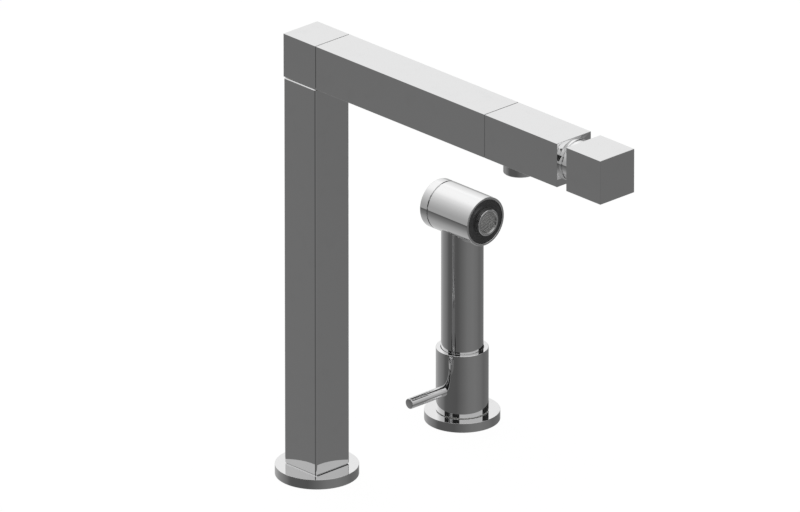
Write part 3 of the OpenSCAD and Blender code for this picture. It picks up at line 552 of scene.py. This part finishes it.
def honeycomb_tree():
    """Geometry tree of a disc that is pierced by a honeycomb inside a plain rim."""
    tree_data = bpy.data.node_groups.new("Honeycomb disc", "GeometryNodeTree")
    for name, kind in (
        ("Radius", "NodeSocketFloat"), ("Thickness", "NodeSocketFloat"), ("Cell width", "NodeSocketFloat"),
        ("Web", "NodeSocketFloat"), ("Rim width", "NodeSocketFloat"), ("Cells across", "NodeSocketInt"),
        ("Turn", "NodeSocketVector"), ("Centre", "NodeSocketVector"), ("Finish", "NodeSocketMaterial"),
    ):
        tree_data.interface.new_socket(name, in_out="INPUT", socket_type=kind)
    tree_data.interface.new_socket("Mesh", in_out="OUTPUT", socket_type="NodeSocketGeometry")
    tree = Tree(tree_data)
    radius = tree.add("NodeGroupInput", output="Radius")
    thickness, cell, web, rim, across, turn, centre, material = (
        tree.other(radius, name) for name in (
            "Thickness", "Cell width", "Web", "Rim width", "Cells across", "Turn", "Centre", "Finish",
        )
    )
    pitch = cell + web
    span = pitch * (across - 1)
    grid = tree.add(
        "GeometryNodeMeshGrid", None,
        {"Size X": span, "Size Y": span, "Vertices X": across, "Vertices Y": across},
    )
    spot = tree.add("ShaderNodeSeparateXYZ", None, {0: tree.add("GeometryNodeInputPosition")})
    row = tree.other(spot, Y)
    row_shift, row_height = 0.5, math.sqrt(3) / 2
    sheared = tree.add(
        "ShaderNodeCombineXYZ", None, {"X": spot + row * row_shift, "Y": row * row_height}
    )
    lattice = tree.add("GeometryNodeSetPosition", None, {"Geometry": grid, "Position": sheared})
    corner = cell / math.sqrt(3)
    reach = tree.add(
        "ShaderNodeVectorMath", {"operation": "LENGTH"},
        {0: tree.add("GeometryNodeInputPosition")}, "Value",
    )
    inside = (reach + corner) < (radius - rim)
    spots = tree.add("GeometryNodeMeshToPoints", None, {"Mesh": lattice, "Selection": inside})
    hexagon = tree.add(
        "GeometryNodeCurvePrimitiveCircle", {"mode": "RADIUS"}, {"Resolution": 6, "Radius": corner}
    )
    cells = tree.add(
        "GeometryNodeInstanceOnPoints", None,
        {"Points": spots, "Instance": hexagon, "Rotation": (0, 0, math.radians(30))},
    )
    edge = tree.add(
        "GeometryNodeCurvePrimitiveCircle", {"mode": "RADIUS"},
        {"Resolution": ROUND_STEPS, "Radius": radius},
    )
    curves = tree.add(
        "GeometryNodeJoinGeometry", None,
        {0: [edge, tree.add("GeometryNodeRealizeInstances", None, {0: cells})]},
    )
    sheet = tree.add("GeometryNodeFillCurve", {"mode": "TRIANGLES"}, {"Curve": curves})
    raised = tree.add(
        "GeometryNodeExtrudeMesh", {"mode": "FACES"},
        {"Mesh": sheet, "Offset": (0, 0, 1), "Offset Scale": thickness, "Individual": False},
    )
    under = tree.add("GeometryNodeFlipFaces", None, {"Mesh": sheet})
    whole = tree.add("GeometryNodeJoinGeometry", None, {0: [raised, under]})
    welded = tree.add("GeometryNodeMergeByDistance", None, {"Geometry": whole, "Distance": SAME_CORNER})
    flat = tree.add("GeometryNodeSetShadeSmooth", None, {"Geometry": welded, "Shade Smooth": False})
    placed = tree.add(
        "GeometryNodeTransform", None, {"Geometry": flat, "Rotation": turn, "Translation": centre}
    )
    real = tree.add("GeometryNodeRealizeInstances", None, {0: placed})
    painted = tree.add("GeometryNodeSetMaterial", None, {"Geometry": real, "Material": material})
    tree.add("NodeGroupOutput", None, {0: painted})
    return tree_data


def honeycomb_disc(name, slot, sizes):
    """Honeycomb disc as a plain mesh, from named sizes in metres."""
    tree_data = bpy.data.node_groups.get("Honeycomb disc") or honeycomb_tree()
    piece = new_piece(name, bpy.data.meshes.new(name), slot)
    modifier = piece.modifiers.new("Honeycomb", "NODES")
    modifier.node_group = tree_data
    sizes = dict(sizes, Finish=finish(slot))
    for item in tree_data.interface.items_tree:
        if item.in_out == "INPUT":
            modifier[item.identifier] = sizes[item.name]
    make_plain(piece)
    if not piece.data.polygons:
        raise RuntimeError(name + " came out empty")
    return piece


# Sizes and colours that a user would change


class FaucetFinishes(bpy.types.PropertyGroup):
    """Colours and polish of the pieces"""

    chrome_colour: bpy.props.FloatVectorProperty(
        name="Chrome", description="Colour of the polished chrome", subtype="COLOR", size=3,
        min=0, max=1, default=(0.87, 0.87, 0.872))
    chrome_roughness: bpy.props.FloatProperty(
        name="Polish", description="Roughness of clean chrome", subtype="FACTOR",
        min=0, max=1, default=0.028)
    ripple: bpy.props.FloatProperty(
        name="Buffing waves", description="Height of the faint waves left by buffing",
        unit="LENGTH", min=0, default=0.000003, precision=6)
    steel_colour: bpy.props.FloatVectorProperty(
        name="Steel", description="Colour of the steel mesh, pipes and clips", subtype="COLOR", size=3,
        min=0, max=1, default=(0.62, 0.62, 0.61))
    brass_colour: bpy.props.FloatVectorProperty(
        name="Brass", description="Colour of the turned brass inside", subtype="COLOR", size=3,
        min=0, max=1, default=(0.72, 0.54, 0.24))
    rubber_colour: bpy.props.FloatVectorProperty(
        name="Rubber", description="Colour of the seals", subtype="COLOR", size=3,
        min=0, max=1, default=(0.03, 0.03, 0.032))
    black_colour: bpy.props.FloatVectorProperty(
        name="Black plastic", description="Colour of the spray's face and the guide bush", subtype="COLOR",
        size=3, min=0, max=1, default=(0.055, 0.055, 0.056))
    white_colour: bpy.props.FloatVectorProperty(
        name="White plastic", description="Colour of bushes, rings and water ways", subtype="COLOR",
        size=3, min=0, max=1, default=(0.72, 0.72, 0.69))
    ceramic_colour: bpy.props.FloatVectorProperty(
        name="Ceramic", description="Colour of the valve's discs", subtype="COLOR", size=3,
        min=0, max=1, default=(0.8, 0.77, 0.7))


class FaucetEdges(bpy.types.PropertyGroup):
    """Softened edges and seams of the pieces"""

    block_edge: bpy.props.FloatProperty(
        name="Block edges", description="Rounding of the blocks' edges", unit="LENGTH",
        min=0, default=0.00018, precision=5)
    seam_bevel: bpy.props.FloatProperty(
        name="Arm end bevels", description="Bevel on both ends of the arm", unit="LENGTH",
        min=0, default=0.0002, precision=5)
    seam: bpy.props.FloatProperty(
        name="Arm seams", description="Shadow gap at both ends of the arm", unit="LENGTH",
        min=0, default=0.0003, precision=5)
    lathe_steps: bpy.props.IntProperty(
        name="Lathe steps", description="Faces round each turned piece", min=24, max=512, default=160)


class FaucetStage(bpy.types.PropertyGroup):
    """Camera, floor and studio"""

    azimuth: bpy.props.FloatProperty(
        name="Azimuth", description="Direction from the faucet to the camera, from +X towards +Y",
        subtype="ANGLE", default=math.radians(-43.552))
    elevation: bpy.props.FloatProperty(
        name="Elevation", description="Height of the camera above the horizon", subtype="ANGLE",
        default=math.radians(23.02))
    lens: bpy.props.FloatProperty(
        name="Lens", description="Focal length in millimetres", unit="CAMERA", default=1000)
    frame_width: bpy.props.FloatProperty(
        name="Frame width", description="Width of the view at the aim point", unit="LENGTH",
        default=0.55409)
    aim: bpy.props.FloatVectorProperty(
        name="Aim", description="Point in the middle of the picture", subtype="TRANSLATION", size=3,
        default=(-0.00263, 0.08183, 0.13837))
    floor_size: bpy.props.FloatProperty(
        name="Floor", description="Side of the floor", unit="LENGTH", default=14.0)
    studio_light: bpy.props.FloatProperty(
        name="Studio light", description="Gain of the studio's light", min=0, default=1.4)
    backdrop: bpy.props.FloatProperty(
        name="Backdrop", description="Share of the floor that is plain white to the camera",
        subtype="FACTOR", min=0, max=1, default=0.9)


# Floor: its place under the deck, the range of its paint and the strength of its white
FLOOR_DROP = 0.05 * MM
FLOOR_GREYS = (0.8, 0.84)
FLOOR_WHITE = 1.06

# Studio: gradients as (degrees, grey) stops. Heights count up from the level of the object, bearings
# anticlockwise from the camera's. Ground and sky meet at the horizon's height
HORIZON = -15
HORIZON_BLUR = 0.4
SKY = (
    (HORIZON, 155), (0, 159), (14, 175), (23, 186), (34, 198), (42, 214), (48, 238), (70, 246), (90, 247),
)
GROUND = ((-90, 180), (-65, 168), (-45, 145), (-30, 116), (-23, 107), (-18, 92), (HORIZON, 80))
# Level of the sky in its low band, the glow that takes its place by bearing, and the band's heights
SKY_MIDDLE = 186
BACK_GLOW = (
    (-180, 231), (-172, 239), (-150, 243), (-130, 233), (-110, 205), (-90, 186),
    (90, 186), (108, 192), (144, 231), (180, 231),
)
BAND_RISE, BAND_FALL = (-6, 12), (34, 54)
# Level of the ground in its high band, the level that takes its place by bearing, and the band's heights
GROUND_MIDDLE = 107
SIDES = (
    (-180, 175), (-141, 153), (-127, 136), (-92, 107), (-80, 86), (-72, 82), (-25, 80),
    (0, 95), (28, 109), (57, 112), (87, 106), (106, 97), (150, 108), (180, 160),
)
SIDES_RISE, SIDES_FALL = (-62, -30), (-17, HORIZON)
# Dark panels: start and end bearing, lower and upper height, in degrees
PANELS = (
    (-84, -12, 11, 52), (-112, -60, 45, 58), (-30, 2, -6, 17), (99, 176, 19, 56),
    (150, 180, 26, 56),
)
PANEL_DARKNESS = 0.97
PANEL_SIDE_BLUR, PANEL_TOP_BLUR = 2, 1
SENSOR_WIDTH = 36


# Operators


def edges():
    return bpy.context.scene.faucet_edges


class FAUCET_OT_column(bpy.types.Operator):
    """Builds the column and its deck flange"""

    bl_idname = "faucet.column"
    bl_label = "Column"

    def execute(self, context):
        flange, gasket = Place("column_flange"), Place("column_gasket")
        radius, height = flange.half(X), flange.length(Z)
        groove_out, groove_top = gasket.half(X), gasket.end(Z)
        bore, groove_w, rim = 13.03, 6, 0.14
        groove_in = groove_out - groove_w
        piece = lathe("flange", [
            (bore, 0, FINE), (groove_in, 0, HAIR), (groove_in, groove_top, SHARP),
            (groove_out, groove_top, SHARP), (groove_out, 0, HAIR), (radius, 0, FINE),
            (radius, height, rim), (bore, height, HAIR),
        ], "Z", ORIGIN, "chrome", edges().lathe_steps)
        settle(piece, "base", "column_flange")

        tube = Place("column_tube")
        half, top = tube.half(X), tube.end(Z)
        lift, foot, chamfer, blend = 0.05, 0.75, 0.7, 0.08
        shoulder_in, ledge = 0.12, 0.1
        edge, foot_ease, ledge_ease, top_ease = 1.2, 0.4, 0.5, 0.6
        bottom = tube.start(Z) + lift
        piece = square_tube("column", [
            (half - foot, edge - foot_ease, bottom), (half, edge, bottom + foot),
            (half, edge, top - chamfer), (half - shoulder_in, edge, top - chamfer + blend),
            (half - chamfer + blend, edge - ledge_ease, top - ledge), (half - chamfer, edge - top_ease, top),
            (half - TUBE_WALL, SOFT, top), (half - TUBE_WALL, SOFT, bottom),
        ], "Z", ORIGIN, "chrome")
        settle(piece, "base", "column_tube")
        return {"FINISHED"}


class FAUCET_OT_spout(bpy.types.Operator):
    """Builds the corner block, the arm and the valve block"""

    bl_idname = "faucet.spout"
    bl_label = "Spout"

    def execute(self, context):
        block_edge = edges().block_edge / MM
        bevel, seam = edges().seam_bevel / MM, edges().seam / MM
        piece = dressed_block("corner", "corner_block", block_edge, "chrome")
        settle(piece, "spout", "corner_block")
        piece = dressed_block("valve_body", "valve_block", block_edge, "chrome")
        settle(piece, "spout", "valve_block")

        arm = Place("arm_tube")
        half, length, end_edge = arm.half(Z), arm.length(X), 0.12
        piece = square_tube("arm", [
            (half - bevel, end_edge, seam), (half, block_edge, seam + bevel),
            (half, block_edge, length - seam - bevel), (half - bevel, end_edge, length - seam),
            (half - TUBE_WALL, HAIR, length - seam), (half - TUBE_WALL, HAIR, seam),
        ], "X", Vector((arm.low.x, 0, arm.middle.z)), "chrome")
        settle(piece, "spout", "arm_tube")
        return {"FINISHED"}


class FAUCET_OT_knob(bpy.types.Operator):
    """Builds the grooved collar and the cube knob"""

    bl_idname = "faucet.knob"
    bl_label = "Collar and knob"

    def execute(self, context):
        collar, block = Place("valve_collar"), Place("valve_block")
        outer = collar.half(Y)
        length = (collar.high.x - block.high.x) / MM
        back = (collar.low.x - block.high.x) / MM
        bore, spigot, seat_gap, edge = 7.6, 11.97, 0.02, 0.12
        groove_place, groove_half, groove_depth = 0.4, 0.45, 1.1
        nose_inset, nose_edge = 0.35, 0.35
        groove, inner = length * groove_place, outer - nose_inset
        piece = lathe("collar", [
            (bore, back, FINE), (spigot, back, SOFT), (spigot, seat_gap, SHARP), (outer, seat_gap, edge),
            (outer, groove - groove_half, edge), (outer - groove_depth, groove - groove_half, SHARP),
            (outer - groove_depth, groove + groove_half, SHARP), (inner, groove + groove_half, HAIR),
            (inner, length, nose_edge), (bore, length, FINE),
        ], "X", Vector((block.high.x, 0, block.middle.z)), "chrome", edges().lathe_steps)
        settle(piece, "spout", "valve_collar")

        piece = dressed_block("knob", "knob_cube", edges().block_edge / MM, "chrome")
        settle(piece, "knob", "knob_cube")
        return {"FINISHED"}


class FAUCET_OT_outlet(bpy.types.Operator):
    """Builds the water outlet and its honeycomb mesh"""

    bl_idname = "faucet.outlet"
    bl_label = "Water outlet"

    def execute(self, context):
        ring, block = Place("outlet_ring"), Place("valve_block")
        outer, top = ring.half(X), ring.length(Z)
        neck, inner, lip, lip_h = 9.97, 8.6, 7.9, 0.8
        seat_gap, rim, seat_edge = 0.02, 0.6, 0.15
        seat = (block.low.z - ring.low.z) / MM - seat_gap
        piece = lathe("outlet", [
            (lip, 0, FINE), (outer, 0, rim), (outer, seat, seat_edge), (neck, seat, SHARP),
            (neck, top, FINE), (inner, top, FINE), (inner, lip_h, SHARP), (lip, lip_h, HAIR),
        ], "Z", Vector((ring.middle.x, 0, ring.low.z)), "chrome", edges().lathe_steps)
        settle(piece, "spout", "outlet_ring")

        mesh = Place("aerator_mesh")
        piece = honeycomb_disc("outlet_mesh", "steel", {
            "Radius": mesh.size.x / 2, "Thickness": mesh.size.z, "Cell width": 1.7 * MM,
            "Web": 0.42 * MM, "Rim width": 0.9 * MM, "Cells across": 17,
            "Turn": (0, 0, 0), "Centre": (mesh.middle.x, mesh.middle.y, mesh.low.z),
        })
        settle(piece, "spout", "aerator_mesh")
        return {"FINISHED"}


class FAUCET_OT_side_unit(bpy.types.Operator):
    """Builds the side unit's flange, its valve sleeve and the lever"""

    bl_idname = "faucet.side_unit"
    bl_label = "Side unit"

    def flange(self, centre):
        place, core = Place("side_flange"), Place("side_core")
        radius, height, bore = place.half(X), place.length(Z), 15.43
        foot, foot_top, rim = core.half(X) + FIT, 5.23, 0.14
        return lathe("side_flange_cover", [
            (foot, 0, HAIR), (radius, 0, FINE), (radius, height, rim), (bore, height, HAIR),
            (bore, foot_top, SHARP), (foot, foot_top, SHARP),
        ], "Z", centre, "chrome", edges().lathe_steps)

    def sleeve(self, seat, radius, bore, seat_y):
        """Sleeve with the lever's threaded hole and seat, and with points close to the seat's rim."""
        place, rod = Place("valve_sleeve"), Place("lever_rod")
        centre = Vector((seat.x, seat.y, 0))
        bottom, top, rod_r = place.start(Z), place.end(Z), rod.half(X)
        lip_play, lip_h, rim, near, far = 0.35, 2, 0.35, 0.3, 0.8
        thread_r, thread_l, seat_l = 2.5, radius + 2, 4
        lip = Place("handle_tube").half(X) + lip_play
        low, high = rod.middle.z / MM - rod_r, rod.middle.z / MM + rod_r
        piece = lathe("sleeve", [
            (bore, bottom, FINE), (radius, bottom, SOFT), (radius, low - far, SHARP),
            (radius, low - near, SHARP), (radius, high + near, SHARP),
            (radius, high + far, SHARP), (radius, top, rim),
            (lip, top, FINE), (lip, top - lip_h, SHARP), (bore, top - lip_h, SHARP),
        ], "Z", centre, "chrome", edges().lathe_steps)
        cut_away(piece, thread_r, thread_l, "-Y", seat)
        cut_away(piece, rod_r + FIT, seat_l, "-Y", seat - Vector((0, seat_y * MM, 0)))
        round_wall(piece, centre, radius * MM)
        return piece

    def lever(self, seat, bore, seat_y):
        rod = Place("lever_rod")
        reach, tip = (seat.y - rod.low.y) / MM, (seat.y - rod.high.y) / MM
        pin_r, thread_r, rod_r, end_edge, thread_gap = 1.6, 2.47, rod.half(X), 0.5, 0.05
        thread = bore + thread_gap
        return lathe("lever", [
            (0, tip, SHARP), (pin_r, tip, FINE), (pin_r, thread, SHARP), (thread_r, thread, HAIR),
            (thread_r, seat_y, SHARP), (rod_r, seat_y, SHARP), (rod_r, reach, end_edge),
            (0, reach, SHARP),
        ], "-Y", seat, "chrome", ROUND_STEPS)

    def execute(self, context):
        middle = Place("side_flange").middle
        settle(self.flange(Vector((middle.x, middle.y, 0))), "base", "side_flange")

        wall, seat_depth = 3, 0.5
        radius = Place("valve_sleeve").half(X)
        bore, seat_y = radius - wall, radius - seat_depth
        seat = Vector((middle.x, middle.y, Place("lever_rod").middle.z))
        settle(self.sleeve(seat, radius, bore, seat_y), "lever", "valve_sleeve")
        settle(self.lever(seat, bore, seat_y), "lever", "lever_rod")
        return {"FINISHED"}


class FAUCET_OT_hand_spray(bpy.types.Operator):
    """Builds the handle, the head with its back cap, the face and the nozzle"""

    bl_idname = "faucet.hand_spray"
    bl_label = "Hand spray"

    def handle(self, head_centre, head_r):
        """Handle tube whose top follows the head's cylinder."""
        wall, bevel, gap, soft = 2 * MM, 0.35 * MM, 0.03 * MM, 0.25 * MM
        bend, levels = 0.29, 24
        steps = edges().lathe_steps
        place = Place("handle_tube")
        outer, bottom = place.size.x / 2, place.low.z
        start = bottom + bevel
        bm = bmesh.new()
        rings = []

        def add(radius, height_of):
            rings.append(add_ring(bm, radius, height_of, steps, place.middle))

        def saddle(radius, angle, room):
            across = radius * math.sin(angle)
            reach = head_r + room
            return head_centre.z - math.sqrt(reach * reach - across * across)

        for inset, rise in ((wall, 0), (bevel, 0), (bevel * bend, bevel * bend), (0, bevel)):
            add(outer - inset, lambda angle: bottom + rise)
        for level in range(1, levels + 1):
            share = level / levels
            add(outer, lambda angle: start + share * (saddle(outer, angle, gap + soft) - start))
        add(outer - soft, lambda angle: saddle(outer - soft, angle, gap))
        add(outer - wall, lambda angle: saddle(outer - wall, angle, gap))
        bridge(bm, rings, steps)
        return weigh_normals(new_piece("handle", mesh_from(bm, "handle"), "chrome"))

    def head(self, centre, head_r, bore):
        """Head shell with the hole for the handle's water channel."""
        shell = Place("head_shell")
        back, front, back_edge, inner_edge = shell.start(X), shell.end(X), 0.15, 0.25
        neck_r, neck_l, neck_drop = 9, 20, 0.026
        piece = lathe("head", [
            (bore, back, HAIR), (head_r, back, back_edge), (head_r, front, SOFT), (bore, front, inner_edge),
        ], "X", centre, "chrome", edges().lathe_steps)
        return cut_away(piece, neck_r, neck_l, "Z", centre - Vector((0, 0, neck_drop)))

    def cap(self, centre, head_r, bore):
        """Back cap with its seam and its seal's groove."""
        cap, back = Place("back_cap"), Place("head_shell").start(X)
        start, end = cap.start(X), cap.end(X)
        seam_w, groove_depth, groove_half, edge, seam_edge = 0.95, 1.6, 0.9, 1.2, 0.15
        seam, spigot = back - seam_w, bore - FIT
        groove, groove_r = (back + end) / 2, bore - groove_depth
        return lathe("head_cap", [
            (0, start, SHARP), (head_r, start, edge), (head_r, seam, seam_edge), (spigot, seam, SHARP),
            (spigot, groove - groove_half, HAIR), (groove_r, groove - groove_half, SHARP),
            (groove_r, groove + groove_half, SHARP), (spigot, groove + groove_half, HAIR),
            (spigot, end, SOFT), (0, end, SHARP),
        ], "X", centre, "chrome", edges().lathe_steps)

    def face(self, centre, bore, radius, base):
        """Black face with the collar round the nozzle."""
        place = Place("spray_face")
        back, front = place.start(X), place.end(X)
        hole, collar_w, collar_edge = 8, 0.83, 0.25
        rim, collar = bore - FIT, radius + collar_w
        return lathe("face", [
            (hole, back, HAIR), (rim, back, HAIR), (rim, base, SOFT), (collar, base, SOFT),
            (collar, front, collar_edge), (radius + FIT, front, HAIR), (radius + FIT, base, SHARP),
            (hole, base, HAIR),
        ], "X", centre, "black_plastic", edges().lathe_steps)

    def nozzle(self, centre, radius, base, tip):
        """Chrome ring with the seats of its mesh and plate."""
        back = Place("nozzle_ring").start(X)
        bore, neck, mouth, plate_r = 6.2, 7.97, 7.95, 7.05
        seat_gap, mesh_depth, plate_depth = 0.02, 1.3, 2
        seat = base + seat_gap
        return lathe("nozzle", [
            (bore, back, FINE), (neck, back, FINE), (neck, seat, SHARP), (radius, seat, SHARP),
            (radius, tip, SOFT), (mouth, tip, FINE), (mouth, tip - mesh_depth, SHARP),
            (plate_r, tip - mesh_depth, SHARP), (plate_r, tip - plate_depth, SHARP),
            (bore, tip - plate_depth, HAIR),
        ], "X", centre, "chrome", edges().lathe_steps)

    def screen(self, centre, tip):
        """Honeycomb mesh with its plate behind it."""
        mesh, depth, plate = Place("nozzle_mesh"), 1.25, 0.7
        piece = honeycomb_disc("nozzle_screen", "steel", {
            "Radius": 7.9 * MM, "Thickness": 0.35 * MM, "Cell width": 0.85 * MM,
            "Web": 0.3 * MM, "Rim width": 0.5 * MM, "Cells across": 27,
            "Turn": (0, math.radians(90), 0), "Centre": ((tip - depth) * MM, centre.y, centre.z),
        })
        add_disc(piece, mesh.half(Y), plate, "X", Vector((mesh.low.x, centre.y, centre.z)))
        return piece

    def execute(self, context):
        shell, face, nozzle = Place("head_shell"), Place("spray_face"), Place("nozzle_ring")
        centre = Vector((0, shell.middle.y, shell.middle.z))
        head_r, bore = shell.half(Y), face.half(Y) + FIT
        collar_h = 1.2
        radius, tip, base = nozzle.half(Y), nozzle.end(X), face.end(X) - collar_h
        for piece, node in (
            (self.handle(centre, head_r * MM), "handle_tube"),
            (self.head(centre, head_r, bore), "head_shell"),
            (self.cap(centre, head_r, bore), "back_cap"),
            (self.face(centre, bore, radius, base), "spray_face"),
            (self.nozzle(centre, radius, base, tip), "nozzle_ring"),
            (self.screen(centre, tip), "nozzle_mesh"),
        ):
            settle(piece, "hand_spray", node)
        return {"FINISHED"}


class FAUCET_OT_inner_pieces(bpy.types.Operator):
    """Gives the carried-over CAD pieces their finishes"""

    bl_idname = "faucet.inner_pieces"
    bl_label = "Inner pieces"

    def execute(self, context):
        slots = {entry["node"]: entry["material_slot"] for entry in frame["record"]["subparts"]}
        for node, piece in frame["nodes"].items():
            if not piece.material_slots:
                raise RuntimeError(node + " has no material slot")
            for place in piece.material_slots:
                place.material = finish(slots[node])
        return {"FINISHED"}


class FAUCET_OT_stage(bpy.types.Operator):
    """Builds the floor, the studio's light and the camera"""

    bl_idname = "faucet.stage"
    bl_label = "Stage"

    def floor(self, looks):
        half = looks.floor_size / 2
        bm = bmesh.new()
        corners = [(-half, -half), (half, -half), (half, half), (-half, half)]
        bm.faces.new([bm.verts.new((x, y, -FLOOR_DROP)) for x, y in corners])
        mesh = bpy.data.meshes.new("floor")
        bm.to_mesh(mesh)
        bm.free()
        floor = bpy.data.objects.new("floor", mesh)
        bpy.context.scene.collection.objects.link(floor)
        floor.visible_glossy = False
        material, tree = new_finish("studio_floor")
        pores = noise(tree, object_place(tree), scale=300.0, detail=3.0)
        low, high = ((grey, grey, grey) for grey in FLOOR_GREYS)
        paint = tree.add(
            "ShaderNodeBsdfPrincipled", None, {"Base Color": tint(tree, pores, low, high), "Roughness": 0.7}
        )
        white = tree.add("ShaderNodeEmission", None, {"Strength": FLOOR_WHITE})
        seen = tree.add("ShaderNodeLightPath", output="Is Camera Ray")
        share = seen * looks.backdrop
        mixed = tree.add("ShaderNodeMixShader", None, {0: share, 1: paint, 2: white})
        tree.add("ShaderNodeOutputMaterial", None, {"Surface": mixed})
        mesh.materials.append(material)

    def studio(self, looks):
        """Grey room with a bright ceiling and dark panels, which the chrome reflects."""
        world = bpy.data.worlds.new("studio")
        bpy.context.scene.world = world
        world.use_nodes = True
        tree = Tree(world.node_tree)
        ray = tree.add("ShaderNodeTexCoord", output="Generated")
        way = tree.add("ShaderNodeSeparateXYZ", None, {0: ray})
        along, up = tree.other(way, Y), tree.other(way, Z)
        degree, whole, half = math.degrees(1), 360, 0.5
        height = up.math("ARCSINE") * degree
        turned = (along.math("ARCTAN2", way) - looks.azimuth) * (degree / whole)
        bearing = ((turned + (1 + half)).math("FRACT") - half) * whole

        def ramp(factor, stops):
            low, high = stops[0][0], stops[-1][0]
            share = tree.add(
                "ShaderNodeMapRange", None, {"Value": factor, "From Min": low, "From Max": high}
            )
            places = [((at - low) / (high - low), linear(grey)) for at, grey in stops]
            colour = tree.add("ShaderNodeValToRGB", {"stops": places}, {0: share})
            return tree.add("ShaderNodeRGBToBW", None, {0: colour})

        def between(wire, low, high, blur):
            return wire.smooth(low - blur, low + blur) * (1 - wire.smooth(high - blur, high + blur))

        sky = ramp(height, SKY)
        back_glow = ramp(bearing, BACK_GLOW)
        low_band = height.smooth(*BAND_RISE) * (1 - height.smooth(*BAND_FALL))
        sky = sky + (back_glow - linear(SKY_MIDDLE)) * low_band
        ground = ramp(height, GROUND)
        sides = ramp(bearing, SIDES)
        nearness = height.smooth(*SIDES_RISE) * (1 - height.smooth(*SIDES_FALL))
        ground = ground * (1 + (sides / linear(GROUND_MIDDLE) - 1) * nearness)
        facing = height.smooth(HORIZON - HORIZON_BLUR, HORIZON + HORIZON_BLUR)
        light = ground * (1 - facing) + sky * facing

        for left, right, low, high in PANELS:
            wide = between(bearing, left, right, PANEL_SIDE_BLUR)
            tall = between(height, low, high, PANEL_TOP_BLUR)
            light = light * (1 - PANEL_DARKNESS * wide * tall)
        light = light * looks.studio_light
        seen = tree.add("ShaderNodeLightPath", output="Is Camera Ray")
        strength = light * (1 - seen) + seen
        background = tree.add("ShaderNodeBackground", None, {"Strength": strength})
        tree.add("ShaderNodeOutputWorld", None, {"Surface": background})

    def camera(self, looks):
        nearest, farthest = 0.1, 3
        flat = math.cos(looks.elevation)
        back = Vector((
            flat * math.cos(looks.azimuth), flat * math.sin(looks.azimuth), math.sin(looks.elevation)))
        data = bpy.data.cameras.new("camera")
        data.lens = looks.lens
        data.sensor_width = SENSOR_WIDTH
        distance = looks.frame_width * looks.lens / data.sensor_width
        data.clip_start = distance * nearest
        data.clip_end = distance * farthest
        camera = bpy.data.objects.new("camera", data)
        bpy.context.scene.collection.objects.link(camera)
        camera.location = Vector(looks.aim) + back * distance
        camera.rotation_euler = (-back).to_track_quat("-Z", "Y").to_euler()
        bpy.context.scene.camera = camera

    def execute(self, context):
        looks = context.scene.faucet_stage
        self.camera(looks)
        self.floor(looks)
        self.studio(looks)
        context.scene.view_settings.view_transform = "Standard"
        return {"FINISHED"}


STEPS = (
    FAUCET_OT_stage, FAUCET_OT_column, FAUCET_OT_spout, FAUCET_OT_knob, FAUCET_OT_outlet,
    FAUCET_OT_side_unit, FAUCET_OT_hand_spray, FAUCET_OT_inner_pieces,
)
SETTINGS = (
    ("faucet_finishes", FaucetFinishes), ("faucet_edges", FaucetEdges), ("faucet_stage", FaucetStage),
)


class FAUCET_PT_panel(bpy.types.Panel):
    """Lists the faucet's settings and steps"""

    bl_idname = "FAUCET_PT_panel"
    bl_label = "Kitchen faucet"
    bl_space_type = "VIEW_3D"
    bl_region_type = "UI"
    bl_category = "Faucet"

    def draw(self, context):
        for name, group in SETTINGS:
            box = self.layout.box()
            for key in group.__annotations__:
                box.prop(getattr(context.scene, name), key)
        for step in STEPS:
            self.layout.operator(step.bl_idname)


def register():
    for name, group in SETTINGS:
        bpy.utils.register_class(group)
        setattr(bpy.types.Scene, name, bpy.props.PointerProperty(type=group))
    for step in STEPS:
        bpy.utils.register_class(step)
    bpy.utils.register_class(FAUCET_PT_panel)


def unregister():
    bpy.utils.unregister_class(FAUCET_PT_panel)
    for step in reversed(STEPS):
        bpy.utils.unregister_class(step)
    for name, group in reversed(SETTINGS):
        delattr(bpy.types.Scene, name)
        bpy.utils.unregister_class(group)


def main():
    register()
    for step in STEPS:
        group, name = step.bl_idname.split(".")
        getattr(getattr(bpy.ops, group), name)()


if __name__ == "__main__":
    main()
